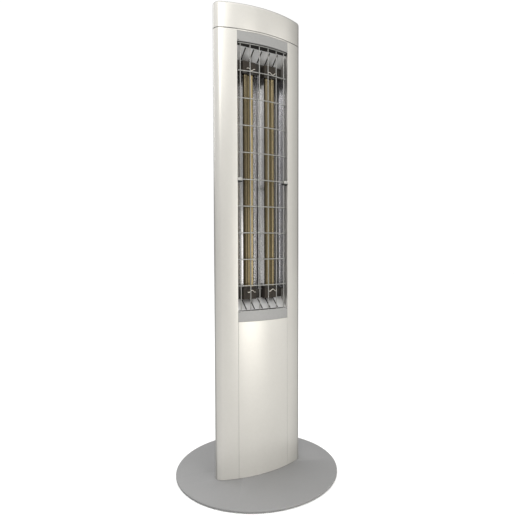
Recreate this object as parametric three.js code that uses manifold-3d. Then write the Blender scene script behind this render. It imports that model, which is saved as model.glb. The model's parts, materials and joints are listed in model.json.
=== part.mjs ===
// A free-standing infrared terrace heater: a slim aluminium column of lens-shaped section on a round
// steel plate, with two twin-tube lamps behind a wire guard in its upper half.
// Millimetres, +Z up. The front faces -Y, and the origin is on the floor, under the centre of the base plate.
import * as THREE from "three";
import { mergeVertices } from "three/addons/utils/BufferGeometryUtils.js";
import Module from "manifold-3d";

const wasm = await Module();
wasm.setup();

// ---- Driving dimensions ----
const GAP = 0.3; // between pieces that touch
const CHORD_ERROR = 0.25; // how far a facet may lie from its arc
const CLEAN = 0.01; // slivers thinner than this are merged after a join

const TOTAL_HEIGHT = 1400;
const PLATE_RADIUS = 250;
const PLATE_THICKNESS = 6;
const PLATE_EDGE = 0.8; // chamfer on the plate's rim
const PAD_THICKNESS = 2;
const PAD_RADIUS = 15;
const PAD_COUNT = 4;
const PAD_INSET = 24; // from the plate's rim to a pad's centre

const COLUMN_WIDTH = 286;
const COLUMN_DEPTH = 110;
const FRONT_BULGE = 46; // depth in front of the widest line; the rest is behind it
const END_RADIUS = 22; // rounding of the column's two sides
const CHANNEL_WIDTH = 169; // between the side profiles
const PROFILE_WALL = 2.2;
const COVER_WALL = 2;
const COVER_LEG = 12; // how far a front cover's side legs reach back
const RAIL_WIDTH = 10; // screw rail inside each profile's rear corner
const RAIL_DEPTH = 8;

const CAP_HEIGHT = 74.4;
const CAP_WALL = 2.5;
const CAP_EDGE = 9; // rounding of the cap's top edge
const SEAM = 1.6; // shadow line under the cap
const GASKET_INSET = 3;
const GASKET_WIDTH = 5;
const TOP_PLATE_THICKNESS = 3.5;

const WINDOW_BOTTOM = 510;
const COVER_GAP = 0.5; // between the top trim and the closing plate
const TOP_TRIM_HEIGHT = 29;
const BOTTOM_TRIM_HEIGHT = 32;
const TRIM_LIP = 5; // depth of the flange at the window's edge

const WIRE_RADIUS = 1.5;
const WIRE_SIDES = 6;
const GUARD_COLUMNS = 6;
const GUARD_COLUMN_EDGE = 11.5; // from the side profile to the outermost upright wire
const GUARD_ROWS = 11;
const GUARD_ROW_MARGINS = [-4, 3]; // from the window's ends to the outermost rows: below and above
const GUARD_SETBACK = 3.2; // outer face of the guard behind the column's surface
const WELD_BITE = 0.6; // how far crossing wires sink into each other
const GUARD_RETURN = 14; // length of a row wire's bent end
const GUARD_BEND = 4; // its chamfered corner
const GUARD_ROW_FACETS = 8;
const GUARD_SIDE_GAP = 3; // between a row wire's end and the profile
const CLIP_HEIGHT = 8;
const CLIP_WIDTH = 14;
const CLIP_THICKNESS = 1.8;

const LAMP_SPACING = 72;
const LAMP_DEPTH = 40.5; // of the lamps' middle behind the front's apex
const LAMP_WIDTH = 34; // twin tube, across both bores
const LAMP_THICKNESS = 15;
const LAMP_BRIDGE = 5; // thickness of the glass between the bores
const LAMP_WALL = 1.3;
const LAMP_LOW_MARGIN = 61; // from the window's ends to the visible ends of the tubes
const LAMP_HIGH_MARGIN = 74;
const FILAMENT_RADIUS = 1.6;
const SOCKET_HEIGHT = 30;
const SOCKET_WALL = [4, 2.5]; // ceramic outside the tube, across and along the depth
const SOCKET_RECESS = 7; // how far the tube goes into its socket
const SOCKET_CLEARANCE = 0.5;
const LAMP_CLIP_HEIGHT = 7;
const LAMP_CLIP_THICKNESS = 0.8;
const LAMP_CLIP_STAND = 1; // between the clip and the tube
const LAMP_CLIP_ARM = 3; // how far its sides pass the back of the tube
const LAMP_CLIP_FOLDS = [2.5, 3.5]; // its two bulges outwards and the dip between them

const SHEET = 1; // reflector and bracket sheet
const REFLECTOR_FRONT = 26; // depths behind the front's apex
const REFLECTOR_BEND = 55; // where the flat side turns into the slope
const REFLECTOR_BACK = 88;
const RIDGE_DEPTH = 50; // of the ridge between the two troughs
const TROUGH_INNER = 16; // from the middle to the inner corner of a trough's floor
const TROUGH_OUTER = 20.5; // from the side profile to its outer corner
const TROUGH_MARGIN = 3; // the troughs run past the visible tube ends

const SLOPE_FRONT = 17.4; // depths of an end reflector's slope behind the front's apex
const SLOPE_BACK = 52;
const TOP_SLOPE = [10, 37.5]; // how far its front and its back lie inside the window
const BOTTOM_SLOPE = [1, 30.5];
const SLOT_EDGE = 30.9; // from the side profile to the first slot
const SLOT_COUNT = 5;
const SLOT_WIDTH = 4;
const SLOT_MARGIN = 1.5;

const SHIELD_GAP = 3; // behind the troughs
const SHIELD_EDGE = 18.5; // from the side profile
const SHIELD_LIP = 3;
const CUTOUT_RADIUS = 8;
const CUTOUT_DEPTH = 9;
const CUTOUT_DROP = 67; // below the tops of the lamps

const BRACKET_THICKNESS = 6;
const BRACKET_DEPTH = 44;
const BRACKET_HEIGHT = 82;
const BOLT_RADIUS = 4;
const BOLT_HEAD_RADIUS = 8;
const BOLT_HEAD_HEIGHT = 4.2;
const BOLT_EDGE = 24.5; // from the side profile to the bolts
const BOLT_SPREAD = 12; // half distance between the bolts, front to back
const BOLT_CLEARANCE = 0.4;

const SWITCH_HEIGHT = 250; // above the floor
const BEZEL = [56, 34, 2.2]; // width, height and thickness of the switch flange
const BEZEL_BODY = [50, 28, 21]; // width, height and depth of the switch body behind the flange
const ROCKER_PITCH = 23.5;
const ROCKER_WIDTH = 18.2;
const ROCKER_HALF_HEIGHT = 11;
const ROCKER_EDGE = 6; // height of the rocker's ends over its pivot
const ROCKER_MIDDLE = 3.6; // height of its hollow middle over the pivot
const ROCKER_ROOT = 3; // depth of the rocker behind its pivot
const ROCKER_UNDERCUT = 2; // its root is this much shorter at each end
const ROCKER_TILT = THREE.MathUtils.degToRad(8); // each way from level
const ROCKER_CLEARANCE = 0.5;
const WELL_DEPTH = 14;
const PIVOT_DEPTH = 8; // of the rocker's pivot behind the flange's face

const GLAND_HEIGHT = 62; // above the floor
const GLAND_BORE = 5;
const GLAND_THREAD = 8;
const GLAND_HEX = 12;
const GLAND_NUT = 10;
const GLAND_LENGTHS = [9, 6, 11]; // thread, hexagon and dome nut
const CUTOUT_CLEARANCE = 0.5;

const VENT_COUNT = 5;
const VENT_EDGE = 42.5; // from the side profile to a vent's end
const VENT_HEIGHT = 4.5;
const VENT_PITCH = 11;
const VENT_DROP = 16.5; // below the closing plate

const SCREW_RADIUS = 2;
const SCREW_HEAD = [3.8, 2.2]; // radius and height
const SCREW_LENGTH = 8;
const SCREW_MARGINS = [38, 24.5]; // above the plate and below the closing plate
const SCREW_CLEARANCE = 0.35;

const TIP_GAP = 9; // the tip-over switch stands behind the foot bracket
const TIP_BODY = [26, 14, 46];
const PIN_RADIUS = 3.5;
const PIN_CLEARANCE = 0.5;
const PIN_LENGTH = 26;
const PIN_TIP = 1.2; // chamfer at its foot
const SPRING_RADIUS = 2.6;
const SPRING_WIRE = 0.4;
const SPRING_TURNS = 5;
const SPRING_LENGTH = 14;

const BOARD_Y = 8;
const BOARD_GAP = 7.7; // above the foot bracket
const BOARD_HEIGHT = 232;
const BOARD_FLANGE = 14;
const TERMINAL = [62, 15, 20]; // width, depth and height
const TERMINAL_WAYS = 5;
const TERMINAL_RISE = 52; // above the board's lower edge
const TERMINAL_RIM = [1.5, 3]; // beside and above a wire well
const TERMINAL_WELL = 5;
const HARNESS_RADIUS = 2.5;
const HARNESS_X = 26;

// ---- Levels and places worked out from them ----
const PLATE_TOP = PAD_THICKNESS + PLATE_THICKNESS;
const COLUMN_BOTTOM = PLATE_TOP + GAP;
const CAP_BOTTOM = TOTAL_HEIGHT - CAP_HEIGHT;
const PROFILE_TOP = CAP_BOTTOM - SEAM;
const TOP_PLATE_BOTTOM = PROFILE_TOP - TOP_PLATE_THICKNESS;
const HALF_WIDTH = COLUMN_WIDTH / 2;
const BACK_BULGE = COLUMN_DEPTH - FRONT_BULGE;
const WIDEST_Y = FRONT_BULGE - COLUMN_DEPTH / 2;
const BACK_Y = COLUMN_DEPTH / 2;
const CHANNEL_HALF = CHANNEL_WIDTH / 2;
const COVER_HALF = CHANNEL_HALF - GAP;
const FRONT_Y = -COLUMN_DEPTH / 2;
const WINDOW_TOP = TOP_PLATE_BOTTOM - COVER_GAP - TOP_TRIM_HEIGHT;
const GUARD_COLUMN_PITCH = (CHANNEL_WIDTH - 2 * GUARD_COLUMN_EDGE) / (GUARD_COLUMNS - 1);
const GUARD_BOTTOM = WINDOW_BOTTOM + GUARD_ROW_MARGINS[0];
const GUARD_TOP = WINDOW_TOP - GUARD_ROW_MARGINS[1];
const GUARD_MIDDLE = (GUARD_BOTTOM + GUARD_TOP) / 2;
const GUARD_ROW_PITCH = (GUARD_TOP - GUARD_BOTTOM) / (GUARD_ROWS - 1);
const LAMP_Y = FRONT_Y + LAMP_DEPTH;
const LAMP_BOTTOM = WINDOW_BOTTOM + LAMP_LOW_MARGIN;
const LAMP_TOP = WINDOW_TOP - LAMP_HIGH_MARGIN;
const SOCKET_WIDTH = LAMP_WIDTH + 2 * SOCKET_WALL[0];
const SOCKET_DEPTH = LAMP_THICKNESS + 2 * SOCKET_WALL[1];
const REFLECTOR_BACK_Y = FRONT_Y + REFLECTOR_BACK;
const SHIELD_Y = REFLECTOR_BACK_Y + SHEET + SHIELD_GAP;
const BRACKET_TOP = COLUMN_BOTTOM + BRACKET_HEIGHT;
const BOARD_BOTTOM = BRACKET_TOP + BOARD_GAP;
const TERMINAL_Z = BOARD_BOTTOM + TERMINAL_RISE;
const TIP_Y = BRACKET_DEPTH / 2 + TIP_GAP + TIP_BODY[1] / 2;
const RAIL_INNER_X = CHANNEL_HALF - RAIL_WIDTH;
const COVER_INNER = COVER_HALF - COVER_WALL; // between a front cover's legs
const GUARD_EDGE = CHANNEL_HALF - GUARD_SIDE_GAP - WIRE_RADIUS;
const TUBE_RADIUS = LAMP_THICKNESS / 2;
const TUBE_OFFSET = LAMP_WIDTH / 2 - TUBE_RADIUS;
const FRONT = -1;
const BACK = 1;

// ---- Materials ----
const finish = (color, roughness, metalness) => new THREE.MeshStandardMaterial({ color, roughness, metalness });
const pearlPaint = finish(0xe6e2d8, 0.38, 0.1);
const trimGrey = finish(0xb9bab8, 0.45, 0.3);
const plateGrey = finish(0x9d9d9d, 0.6, 0.2);
const mirrorSheet = finish(0xd8dadb, 0.15, 1);
const darkSteel = finish(0x4a4743, 0.6, 0.8);
const bareSteel = finish(0xb8b8b6, 0.35, 1);
const guardSteel = finish(0xcfcdc8, 0.28, 1);
const goldQuartz = finish(0xb08c45, 0.2, 0.8);
const tungsten = finish(0x57504a, 0.5, 1);
const ceramic = finish(0x5a4a3c, 0.8, 0);
const blackPlastic = finish(0x202122, 0.5, 0);
const blackRubber = finish(0x17181a, 0.85, 0);
const whitePlastic = finish(0xe8e6df, 0.5, 0);
const redCable = finish(0x7d2a22, 0.6, 0);

const heater = new THREE.Group();

// ---- Shape helpers ----
const point = (x, y) => new THREE.Vector2(x, y);
const steps = (radius, angle) =>
  Math.max(2, Math.ceil(Math.abs(angle) / (2 * Math.acos(1 - CHORD_ERROR / radius))));
const shapeOf = (points, holes = []) => {
  const shape = new THREE.Shape(points);
  shape.holes = holes.map((hole) => new THREE.Path(hole));
  return shape;
};

function arc(cx, cy, radius, from, to, count = steps(radius, to - from)) {
  const along = (i) => from + ((to - from) * i) / count;
  return Array.from({ length: count + 1 }, (_, i) =>
    point(cx + radius * Math.cos(along(i)), cy + radius * Math.sin(along(i))),
  );
}

const rectangle = (x0, y0, x1, y1) => [point(x0, y0), point(x1, y0), point(x1, y1), point(x0, y1)];

// A prism of the outline's section, standing on the XY plane.
function prism(outline, height, holes) {
  return new THREE.ExtrudeGeometry(shapeOf(outline, holes), { depth: height, bevelEnabled: false });
}

// The same prism lying along X: the outline is drawn in Y and Z, and the prism is centred on x = 0.
function beam(outline, width, holes) {
  const turned = new THREE.Matrix4().makeBasis(
    new THREE.Vector3(0, 1, 0),
    new THREE.Vector3(0, 0, 1),
    new THREE.Vector3(1, 0, 0),
  );
  return prism(outline, width, holes).translate(0, 0, -width / 2).applyMatrix4(turned);
}

const block = (x0, y0, z0, x1, y1, z1) => prism(rectangle(x0, y0, x1, y1), z1 - z0).translate(0, 0, z0);

// A solid of revolution about Z. The profile holds [radius, z] pairs.
function turned(profile, sides) {
  const points = profile.map(([radius, z]) => point(radius, z));
  return new THREE.LatheGeometry(points, sides).rotateX(Math.PI / 2);
}

const rod = (radius, length, sides) =>
  turned([[0, 0], [radius, 0], [radius, length], [0, length]], sides);

// A folded sheet's section: the open line of points, thickened to its left.
function folded(line, thickness) {
  const left = line.map((p, i) => {
    const before = line[Math.max(i - 1, 0)];
    const after = line[Math.min(i + 1, line.length - 1)];
    const inward = i ? p.clone().sub(before).normalize() : after.clone().sub(p).normalize();
    const outward = i < line.length - 1 ? after.clone().sub(p).normalize() : inward.clone();
    const bisector = inward.add(outward).normalize();
    const stretch = thickness / Math.max(bisector.dot(outward), 0.3);
    return point(p.x - bisector.y * stretch, p.y + bisector.x * stretch);
  });
  return [...line, ...left.reverse()];
}

// ---- Cutting and joining ----
function solid(geometry) {
  const bare = (geometry.index ? geometry.toNonIndexed() : geometry.clone()).deleteAttribute("normal");
  const merged = mergeVertices(bare.deleteAttribute("uv"), 1e-4);
  return new wasm.Manifold(
    new wasm.Mesh({
      numProp: 3,
      vertProperties: merged.attributes.position.array,
      triVerts: new Uint32Array(merged.index.array),
    }),
  );
}

function surface(manifold) {
  const mesh = manifold.getMesh();
  const position = new THREE.BufferAttribute(new Float32Array(mesh.vertProperties), 3);
  return new THREE.BufferGeometry()
    .setAttribute("position", position)
    .setIndex(new THREE.BufferAttribute(new Uint32Array(mesh.triVerts), 1));
}

const cut = (geometry, tools) =>
  surface(tools.reduce((left, tool) => left.subtract(solid(tool)), solid(geometry)));
const join = (geometries) => surface(geometries.map(solid).reduce((a, b) => a.add(b)).simplify(CLEAN));

function place(name, geometry, material, at = [0, 0, 0], turn = [0, 0, 0]) {
  const mesh = new THREE.Mesh(geometry, material);
  mesh.name = name;
  mesh.position.set(...at);
  mesh.rotation.set(...turn);
  heater.add(mesh);
  return mesh;
}

// ---- The column's section ----
// The front and the back are arcs, each tangent to the END_RADIUS arcs at the two sides.
const bulgeOf = (face) => (face === FRONT ? FRONT_BULGE : BACK_BULGE);
const END_CENTRE = HALF_WIDTH - END_RADIUS;
const faceRadius = (face) =>
  (END_CENTRE ** 2 + bulgeOf(face) ** 2 - END_RADIUS ** 2) / (2 * (bulgeOf(face) - END_RADIUS));
const tangentAngle = (face) => Math.atan2(END_CENTRE, faceRadius(face) - bulgeOf(face));

// Where the face lies at x, inset inwards from the column's surface.
function faceY(face, x, inset = 0) {
  const radius = faceRadius(face);
  return WIDEST_Y + face * (bulgeOf(face) - radius + Math.sqrt((radius - inset) ** 2 - x ** 2));
}

function faceArc(face, fromX, toX, inset = 0) {
  const radius = faceRadius(face);
  const count = steps(radius, Math.asin(toX / radius) - Math.asin(fromX / radius));
  return Array.from({ length: count + 1 }, (_, i) => {
    const x = fromX + ((toX - fromX) * i) / count;
    return point(x, faceY(face, x, inset));
  });
}

// The rounded right-hand end, from the front face to the back face.
function endArc(inset = 0) {
  const from = tangentAngle(FRONT) - Math.PI / 2;
  const to = Math.PI / 2 - tangentAngle(BACK);
  return arc(END_CENTRE, WIDEST_Y, END_RADIUS - inset, from, to, steps(END_RADIUS, to - from));
}

const tangentX = (face, inset) => (faceRadius(face) - inset) * Math.sin(tangentAngle(face));
const mirrored = (points) => points.map((p) => point(-p.x, p.y)).reverse();

// The whole outline, anticlockwise.
function outline(inset = 0) {
  const front = tangentX(FRONT, inset);
  const back = tangentX(BACK, inset);
  return [
    ...faceArc(FRONT, -front, front, inset).slice(0, -1),
    ...endArc(inset),
    ...faceArc(BACK, back, -back, inset).slice(1, -1),
    ...mirrored(endArc(inset)).slice(0, -1),
  ];
}

// The chamber at the right-hand side: the outline beyond the channel's wall.
// A rail is added at the wall's rear corner.
function chamber(inset, withRail) {
  const wall = CHANNEL_HALF + inset;
  const railOuter = COVER_WALL + GAP;
  const railInner = railOuter + RAIL_DEPTH;
  const rail = [
    point(wall, faceY(BACK, wall, railOuter)),
    point(RAIL_INNER_X, faceY(BACK, RAIL_INNER_X, railOuter)),
    point(RAIL_INNER_X, faceY(BACK, RAIL_INNER_X, railInner)),
    point(wall, faceY(BACK, wall, railInner)),
  ];
  return [
    ...faceArc(FRONT, wall, tangentX(FRONT, inset), inset).slice(0, -1),
    ...endArc(inset),
    ...faceArc(BACK, tangentX(BACK, inset), wall, inset).slice(1),
    ...(withRail ? rail : []),
  ];
}

const RAIL_FRONT_Y = faceY(BACK, CHANNEL_HALF, COVER_WALL + GAP + RAIL_DEPTH);
const LEG_END_Y = faceY(FRONT, COVER_HALF) + COVER_LEG;
const bothSides = (x0, y0, z0, x1, y1, z1) => [block(x0, y0, z0, x1, y1, z1), block(-x1, y0, z0, -x0, y1, z1)];
// Clears both screw rails at any height.
const railNotches = () =>
  bothSides(RAIL_INNER_X - GAP, RAIL_FRONT_Y - GAP, 0, HALF_WIDTH, HALF_WIDTH, TOTAL_HEIGHT);

// ---- Base ----
const boltX = CHANNEL_HALF - BOLT_EDGE;
const boltPlaces = [-1, 1].flatMap((sx) => [-1, 1].map((sy) => [sx * boltX, sy * BOLT_SPREAD]));

// A countersunk bolt seen from its head, standing on z = 0. Grown by play, it is also the hole that takes it.
function bolt(play) {
  const length = PLATE_THICKNESS + BRACKET_THICKNESS;
  const head = BOLT_HEAD_RADIUS + play;
  const shank = BOLT_RADIUS + play;
  const low = play ? -1 : 0;
  const profile = [[0, low], [head, low], [head, 0.4], [shank, BOLT_HEAD_HEIGHT], [shank, length], [0, length]];
  return turned(profile, 16);
}

function makeBase() {
  const rim = PLATE_RADIUS - PLATE_EDGE;
  const profile = [
    [0, 0],
    [rim, 0],
    [PLATE_RADIUS, PLATE_EDGE],
    [PLATE_RADIUS, PLATE_THICKNESS - PLATE_EDGE],
    [rim, PLATE_THICKNESS],
    [0, PLATE_THICKNESS],
  ];
  const disc = turned(profile, 4 * steps(PLATE_RADIUS, Math.PI / 2));
  const holes = boltPlaces.map(([x, y]) => bolt(BOLT_CLEARANCE).translate(x, y, 0));
  const pinHole = rod(PIN_RADIUS + PIN_CLEARANCE, PLATE_THICKNESS + 2, 12).translate(0, TIP_Y, -1);
  place("base_plate", cut(disc, [...holes, pinHole]), plateGrey, [0, 0, PAD_THICKNESS]);

  const padCircle = PLATE_RADIUS - PAD_INSET;
  for (let i = 0; i < PAD_COUNT; i++) {
    const angle = (2 * Math.PI * (i + 0.5)) / PAD_COUNT;
    const at = [padCircle * Math.cos(angle), padCircle * Math.sin(angle), 0];
    place(`foot_pad_${i + 1}`, rod(PAD_RADIUS, PAD_THICKNESS - GAP / 3, 24), blackRubber, at);
  }
  boltPlaces.forEach(([x, y], i) => {
    const at = [x, y, PAD_THICKNESS + GAP];
    place(`base_bolt_${i + 1}`, bolt(0), bareSteel, at);
  });
}

// The U-shaped foot that ties both side profiles to the plate.
function makeFootBracket() {
  const half = CHANNEL_HALF - GAP;
  const inner = half - BRACKET_THICKNESS;
  const section = [
    point(-half, 0),
    point(half, 0),
    point(half, BRACKET_HEIGHT),
    point(inner, BRACKET_HEIGHT),
    point(inner, BRACKET_THICKNESS),
    point(-inner, BRACKET_THICKNESS),
    point(-inner, BRACKET_HEIGHT),
    point(-half, BRACKET_HEIGHT),
  ];
  const channel = prism(section, BRACKET_DEPTH).rotateX(Math.PI / 2).translate(0, BRACKET_DEPTH / 2, 0);
  const holes = boltPlaces.map(([x, y]) =>
    rod(BOLT_RADIUS + BOLT_CLEARANCE, BRACKET_THICKNESS + 2, 16).translate(x, y, -1),
  );
  place("foot_bracket", cut(channel, holes), darkSteel, [0, 0, COLUMN_BOTTOM]);
}

// ---- Column shell ----
const screwHeights = [PLATE_TOP + SCREW_MARGINS[0], TOP_PLATE_BOTTOM - SCREW_MARGINS[1]];
const screwPlaces = [-1, 1].flatMap((side) => screwHeights.map((z) => ({ side, z })));
const screwX = CHANNEL_HALF - RAIL_WIDTH / 2;
const screwLean = Math.asin(screwX / faceRadius(BACK)); // the back face's slope at the screws

// A pan-head screw along -Z from its head's seat at the origin.
function screw(play) {
  const shank = SCREW_RADIUS + play;
  return turned([[0, -SCREW_LENGTH - play], [shank, -SCREW_LENGTH - play], [shank, 0], [SCREW_HEAD[0], 0.01],
    [SCREW_HEAD[0], SCREW_HEAD[1] * 0.6], [SCREW_HEAD[0] * 0.6, SCREW_HEAD[1]], [0, SCREW_HEAD[1]]], 16);
}

// Turns a thing that points along +Z to point out of the back face at the screw's place.
function toScrewPlace(geometry, { side, z }) {
  return geometry
    .rotateX(-Math.PI / 2)
    .rotateZ(-side * screwLean)
    .translate(side * screwX, faceY(BACK, screwX), z);
}

function makeProfiles() {
  const height = PROFILE_TOP - COLUMN_BOTTOM;
  for (const [name, side] of [["left_side_profile", -1], ["right_side_profile", 1]]) {
    const flip = side < 0 ? mirrored : (points) => points;
    const tube = prism(flip(chamber(0, true)), height, [flip(chamber(PROFILE_WALL, false))]);
    const holes = screwPlaces
      .filter((place) => place.side === side)
      .map((place) => toScrewPlace(screw(SCREW_CLEARANCE), place));
    place(name, cut(tube.translate(0, 0, COLUMN_BOTTOM), holes), pearlPaint);
  }
}

// A cover that fills the channel's front, with legs along the side profiles.
function frontCoverSection() {
  return [
    ...faceArc(FRONT, -COVER_HALF, COVER_HALF),
    point(COVER_HALF, LEG_END_Y),
    point(COVER_INNER, LEG_END_Y),
    ...faceArc(FRONT, COVER_INNER, -COVER_INNER, COVER_WALL),
    point(-COVER_INNER, LEG_END_Y),
    point(-COVER_HALF, LEG_END_Y),
  ];
}

function makeFrontCovers() {
  const coverTop = WINDOW_BOTTOM - BOTTOM_TRIM_HEIGHT - GAP;
  const cover = prism(frontCoverSection(), coverTop - COLUMN_BOTTOM);
  place("lower_front_cover", cover, pearlPaint, [0, 0, COLUMN_BOTTOM]);

  const lipHalf = COVER_HALF - COVER_WALL / 2;
  const lip = [
    ...faceArc(FRONT, -lipHalf, lipHalf, COVER_WALL / 2),
    ...faceArc(FRONT, lipHalf, -lipHalf, TRIM_LIP),
  ];
  const trim = (height, lipZ) =>
    join([prism(frontCoverSection(), height), prism(lip, COVER_WALL).translate(0, 0, lipZ)]);
  place("top_trim", trim(TOP_TRIM_HEIGHT, 0), trimGrey, [0, 0, WINDOW_TOP]);
  const bottomLip = BOTTOM_TRIM_HEIGHT - COVER_WALL;
  const bottomTrim = trim(BOTTOM_TRIM_HEIGHT, bottomLip);
  place("bottom_trim", bottomTrim, trimGrey, [0, 0, WINDOW_BOTTOM - BOTTOM_TRIM_HEIGHT]);
}

function makeRearCover() {
  const sheet = prism(
    [...faceArc(BACK, COVER_HALF, -COVER_HALF), ...faceArc(BACK, -COVER_HALF, COVER_HALF, COVER_WALL)],
    TOP_PLATE_BOTTOM - GAP - COLUMN_BOTTOM,
  ).translate(0, 0, COLUMN_BOTTOM);
  const through = (x0, z0, x1, z1) => block(x0, BACK_Y - 20, z0, x1, BACK_Y + 5, z1);
  const [bodyWidth, bodyHeight] = BEZEL_BODY.map((size) => size / 2 + CUTOUT_CLEARANCE);
  const switchHole = through(-bodyWidth, SWITCH_HEIGHT - bodyHeight, bodyWidth, SWITCH_HEIGHT + bodyHeight);
  const glandHole = rod(GLAND_THREAD + CUTOUT_CLEARANCE, 20, 24)
    .rotateX(-Math.PI / 2)
    .translate(0, BACK_Y - 15, GLAND_HEIGHT);
  const vents = Array.from({ length: VENT_COUNT }, (_, i) => {
    const z = TOP_PLATE_BOTTOM - VENT_DROP - i * VENT_PITCH;
    const half = CHANNEL_HALF - VENT_EDGE;
    return through(-half, z - VENT_HEIGHT / 2, half, z + VENT_HEIGHT / 2);
  });
  const screwHoles = screwPlaces.map((at) => toScrewPlace(screw(SCREW_CLEARANCE), at));
  place("rear_cover", cut(sheet, [switchHole, glandHole, ...vents, ...screwHoles]), pearlPaint);

  screwPlaces.forEach((at, i) => {
    const lifted = screw(0).translate(0, 0, GAP);
    place(`rear_screw_${i + 1}`, toScrewPlace(lifted, at), bareSteel);
  });
}

// The plate that closes the channel's top, under the cap.
function makeTopPlate() {
  const section = [...faceArc(FRONT, -COVER_HALF, COVER_HALF), ...faceArc(BACK, COVER_HALF, -COVER_HALF)];
  const plate = prism(section, TOP_PLATE_THICKNESS).translate(0, 0, TOP_PLATE_BOTTOM);
  // It hooks round the screw rails, so that its edge follows the back's whole arc.
  const inner = RAIL_INNER_X - GAP;
  const notch = [
    point(inner, RAIL_FRONT_Y - GAP),
    point(HALF_WIDTH, RAIL_FRONT_Y - GAP),
    ...faceArc(BACK, CHANNEL_HALF + 1, inner, COVER_WALL),
  ];
  const notches = [notch, mirrored(notch)].map((line) =>
    prism(line, 2 * TOP_PLATE_THICKNESS).translate(0, 0, TOP_PLATE_BOTTOM - 1),
  );
  place("top_closing_plate", cut(plate, notches), pearlPaint);
  const gasket = prism(outline(GASKET_INSET), SEAM - 2 * GAP, [outline(GASKET_INSET + GASKET_WIDTH)]);
  place("cap_gasket", gasket, blackRubber, [0, 0, PROFILE_TOP + GAP]);
}

// Joins rings of equal count into one closed skin, with a fan over the first and the last ring.
function skin(rings) {
  const count = rings[0].length;
  const positions = rings.flat().flatMap((p) => [p.x, p.y, p.z]);
  const index = [];
  for (let r = 0; r + 1 < rings.length; r++)
    for (let i = 0; i < count; i++) {
      const a = r * count + i;
      const b = r * count + ((i + 1) % count);
      index.push(a, a + count, b, b, a + count, b + count);
    }
  const last = (rings.length - 1) * count;
  for (let i = 1; i + 1 < count; i++) {
    index.push(0, i, i + 1);
    index.push(last, last + i + 1, last + i);
  }
  return new THREE.BufferGeometry()
    .setAttribute("position", new THREE.Float32BufferAttribute(positions, 3))
    .setIndex(index);
}

// A hollow lid open below: outer skin down from the rounded top edge, then up again inside.
function makeCap() {
  const ring = (inset, z) => outline(inset).map((p) => new THREE.Vector3(p.x, p.y, z));
  const roundings = [90, 60, 30, 0].map(THREE.MathUtils.degToRad);
  const outer = roundings.map((a) =>
    ring(CAP_EDGE * (1 - Math.cos(a)), CAP_HEIGHT - CAP_EDGE * (1 - Math.sin(a))),
  );
  const innerEdge = CAP_EDGE - CAP_WALL;
  const inner = roundings.toReversed().map((a) =>
    ring(CAP_WALL + innerEdge * (1 - Math.cos(a)), CAP_HEIGHT - CAP_EDGE + innerEdge * Math.sin(a)),
  );
  place("top_cap", skin([...outer, ring(0, 0), ring(CAP_WALL, 0), ...inner]), pearlPaint, [0, 0, CAP_BOTTOM]);
}

// ---- Reflectors ----
function makeReflectors() {
  const side = CHANNEL_HALF - GAP - SHEET;
  const line = [
    point(GAP + SHEET, FRONT_Y + RIDGE_DEPTH),
    point(TROUGH_INNER, REFLECTOR_BACK_Y),
    point(CHANNEL_HALF - TROUGH_OUTER, REFLECTOR_BACK_Y),
    point(side, FRONT_Y + REFLECTOR_BEND),
    point(side, FRONT_Y + REFLECTOR_FRONT),
  ];
  const right = folded(line.toReversed(), SHEET).reverse();
  const bottom = LAMP_BOTTOM - TROUGH_MARGIN;
  const height = LAMP_TOP + TROUGH_MARGIN - bottom;
  place("right_reflector", prism(right, height), mirrorSheet, [0, 0, bottom]);
  place("left_reflector", prism(mirrored(right), height), mirrorSheet, [0, 0, bottom]);

  const shieldHalf = CHANNEL_HALF - SHIELD_EDGE;
  const shieldLine = [
    point(-shieldHalf, SHIELD_Y - SHIELD_LIP),
    point(-shieldHalf, SHIELD_Y + SHEET),
    point(shieldHalf, SHIELD_Y + SHEET),
    point(shieldHalf, SHIELD_Y - SHIELD_LIP),
  ];
  place("heat_shield", prism(folded(shieldLine.toReversed(), SHEET), height), bareSteel, [0, 0, bottom]);
  const cutout = rod(CUTOUT_RADIUS, CUTOUT_DEPTH, 20).rotateX(-Math.PI / 2);
  place("thermal_cutout", cutout, blackPlastic, [0, SHIELD_Y + 2 * SHEET + GAP, LAMP_TOP - CUTOUT_DROP]);
}

// A sloping, slotted sheet that closes an end of the lamp bay. up is 1 at the top and -1 at the bottom.
function makeEndReflector(name, edge, [frontIn, backIn], up) {
  const frontY = FRONT_Y + SLOPE_FRONT;
  const backY = FRONT_Y + SLOPE_BACK;
  const frontZ = edge - up * frontIn;
  const backZ = edge - up * backIn;
  const line = [point(frontY, frontZ), point(backY, backZ), point(REFLECTOR_BACK_Y, backZ)];
  const sheet = beam(folded(line, up * SHEET), 2 * (CHANNEL_HALF - GAP));
  const run = backY - frontY;
  const rise = backZ - frontZ;
  const slotLength = Math.hypot(run, rise) - 2 * SLOT_MARGIN;
  const slotPitch = (CHANNEL_WIDTH - 2 * SLOT_EDGE) / (SLOT_COUNT - 1);
  const slots = Array.from({ length: SLOT_COUNT }, (_, i) =>
    block(-SLOT_WIDTH / 2, -slotLength / 2, -5, SLOT_WIDTH / 2, slotLength / 2, 5)
      .rotateX(Math.atan2(rise, run))
      .translate((i - (SLOT_COUNT - 1) / 2) * slotPitch, frontY + run / 2, frontZ + rise / 2),
  );
  // The guard's bent wire ends pass its front corners.
  const wireZ = up > 0 ? GUARD_TOP : GUARD_BOTTOM;
  const wireRoom = WIRE_RADIUS + 1;
  const wires = bothSides(
    GUARD_EDGE - 2 * wireRoom,
    FRONT_Y,
    wireZ - wireRoom,
    HALF_WIDTH,
    faceY(FRONT, GUARD_EDGE, GUARD_SETBACK) + GUARD_RETURN + 2 * wireRoom,
    wireZ + wireRoom,
  );
  place(name, cut(sheet, [...slots, ...wires, ...railNotches()]), mirrorSheet);
}

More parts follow.
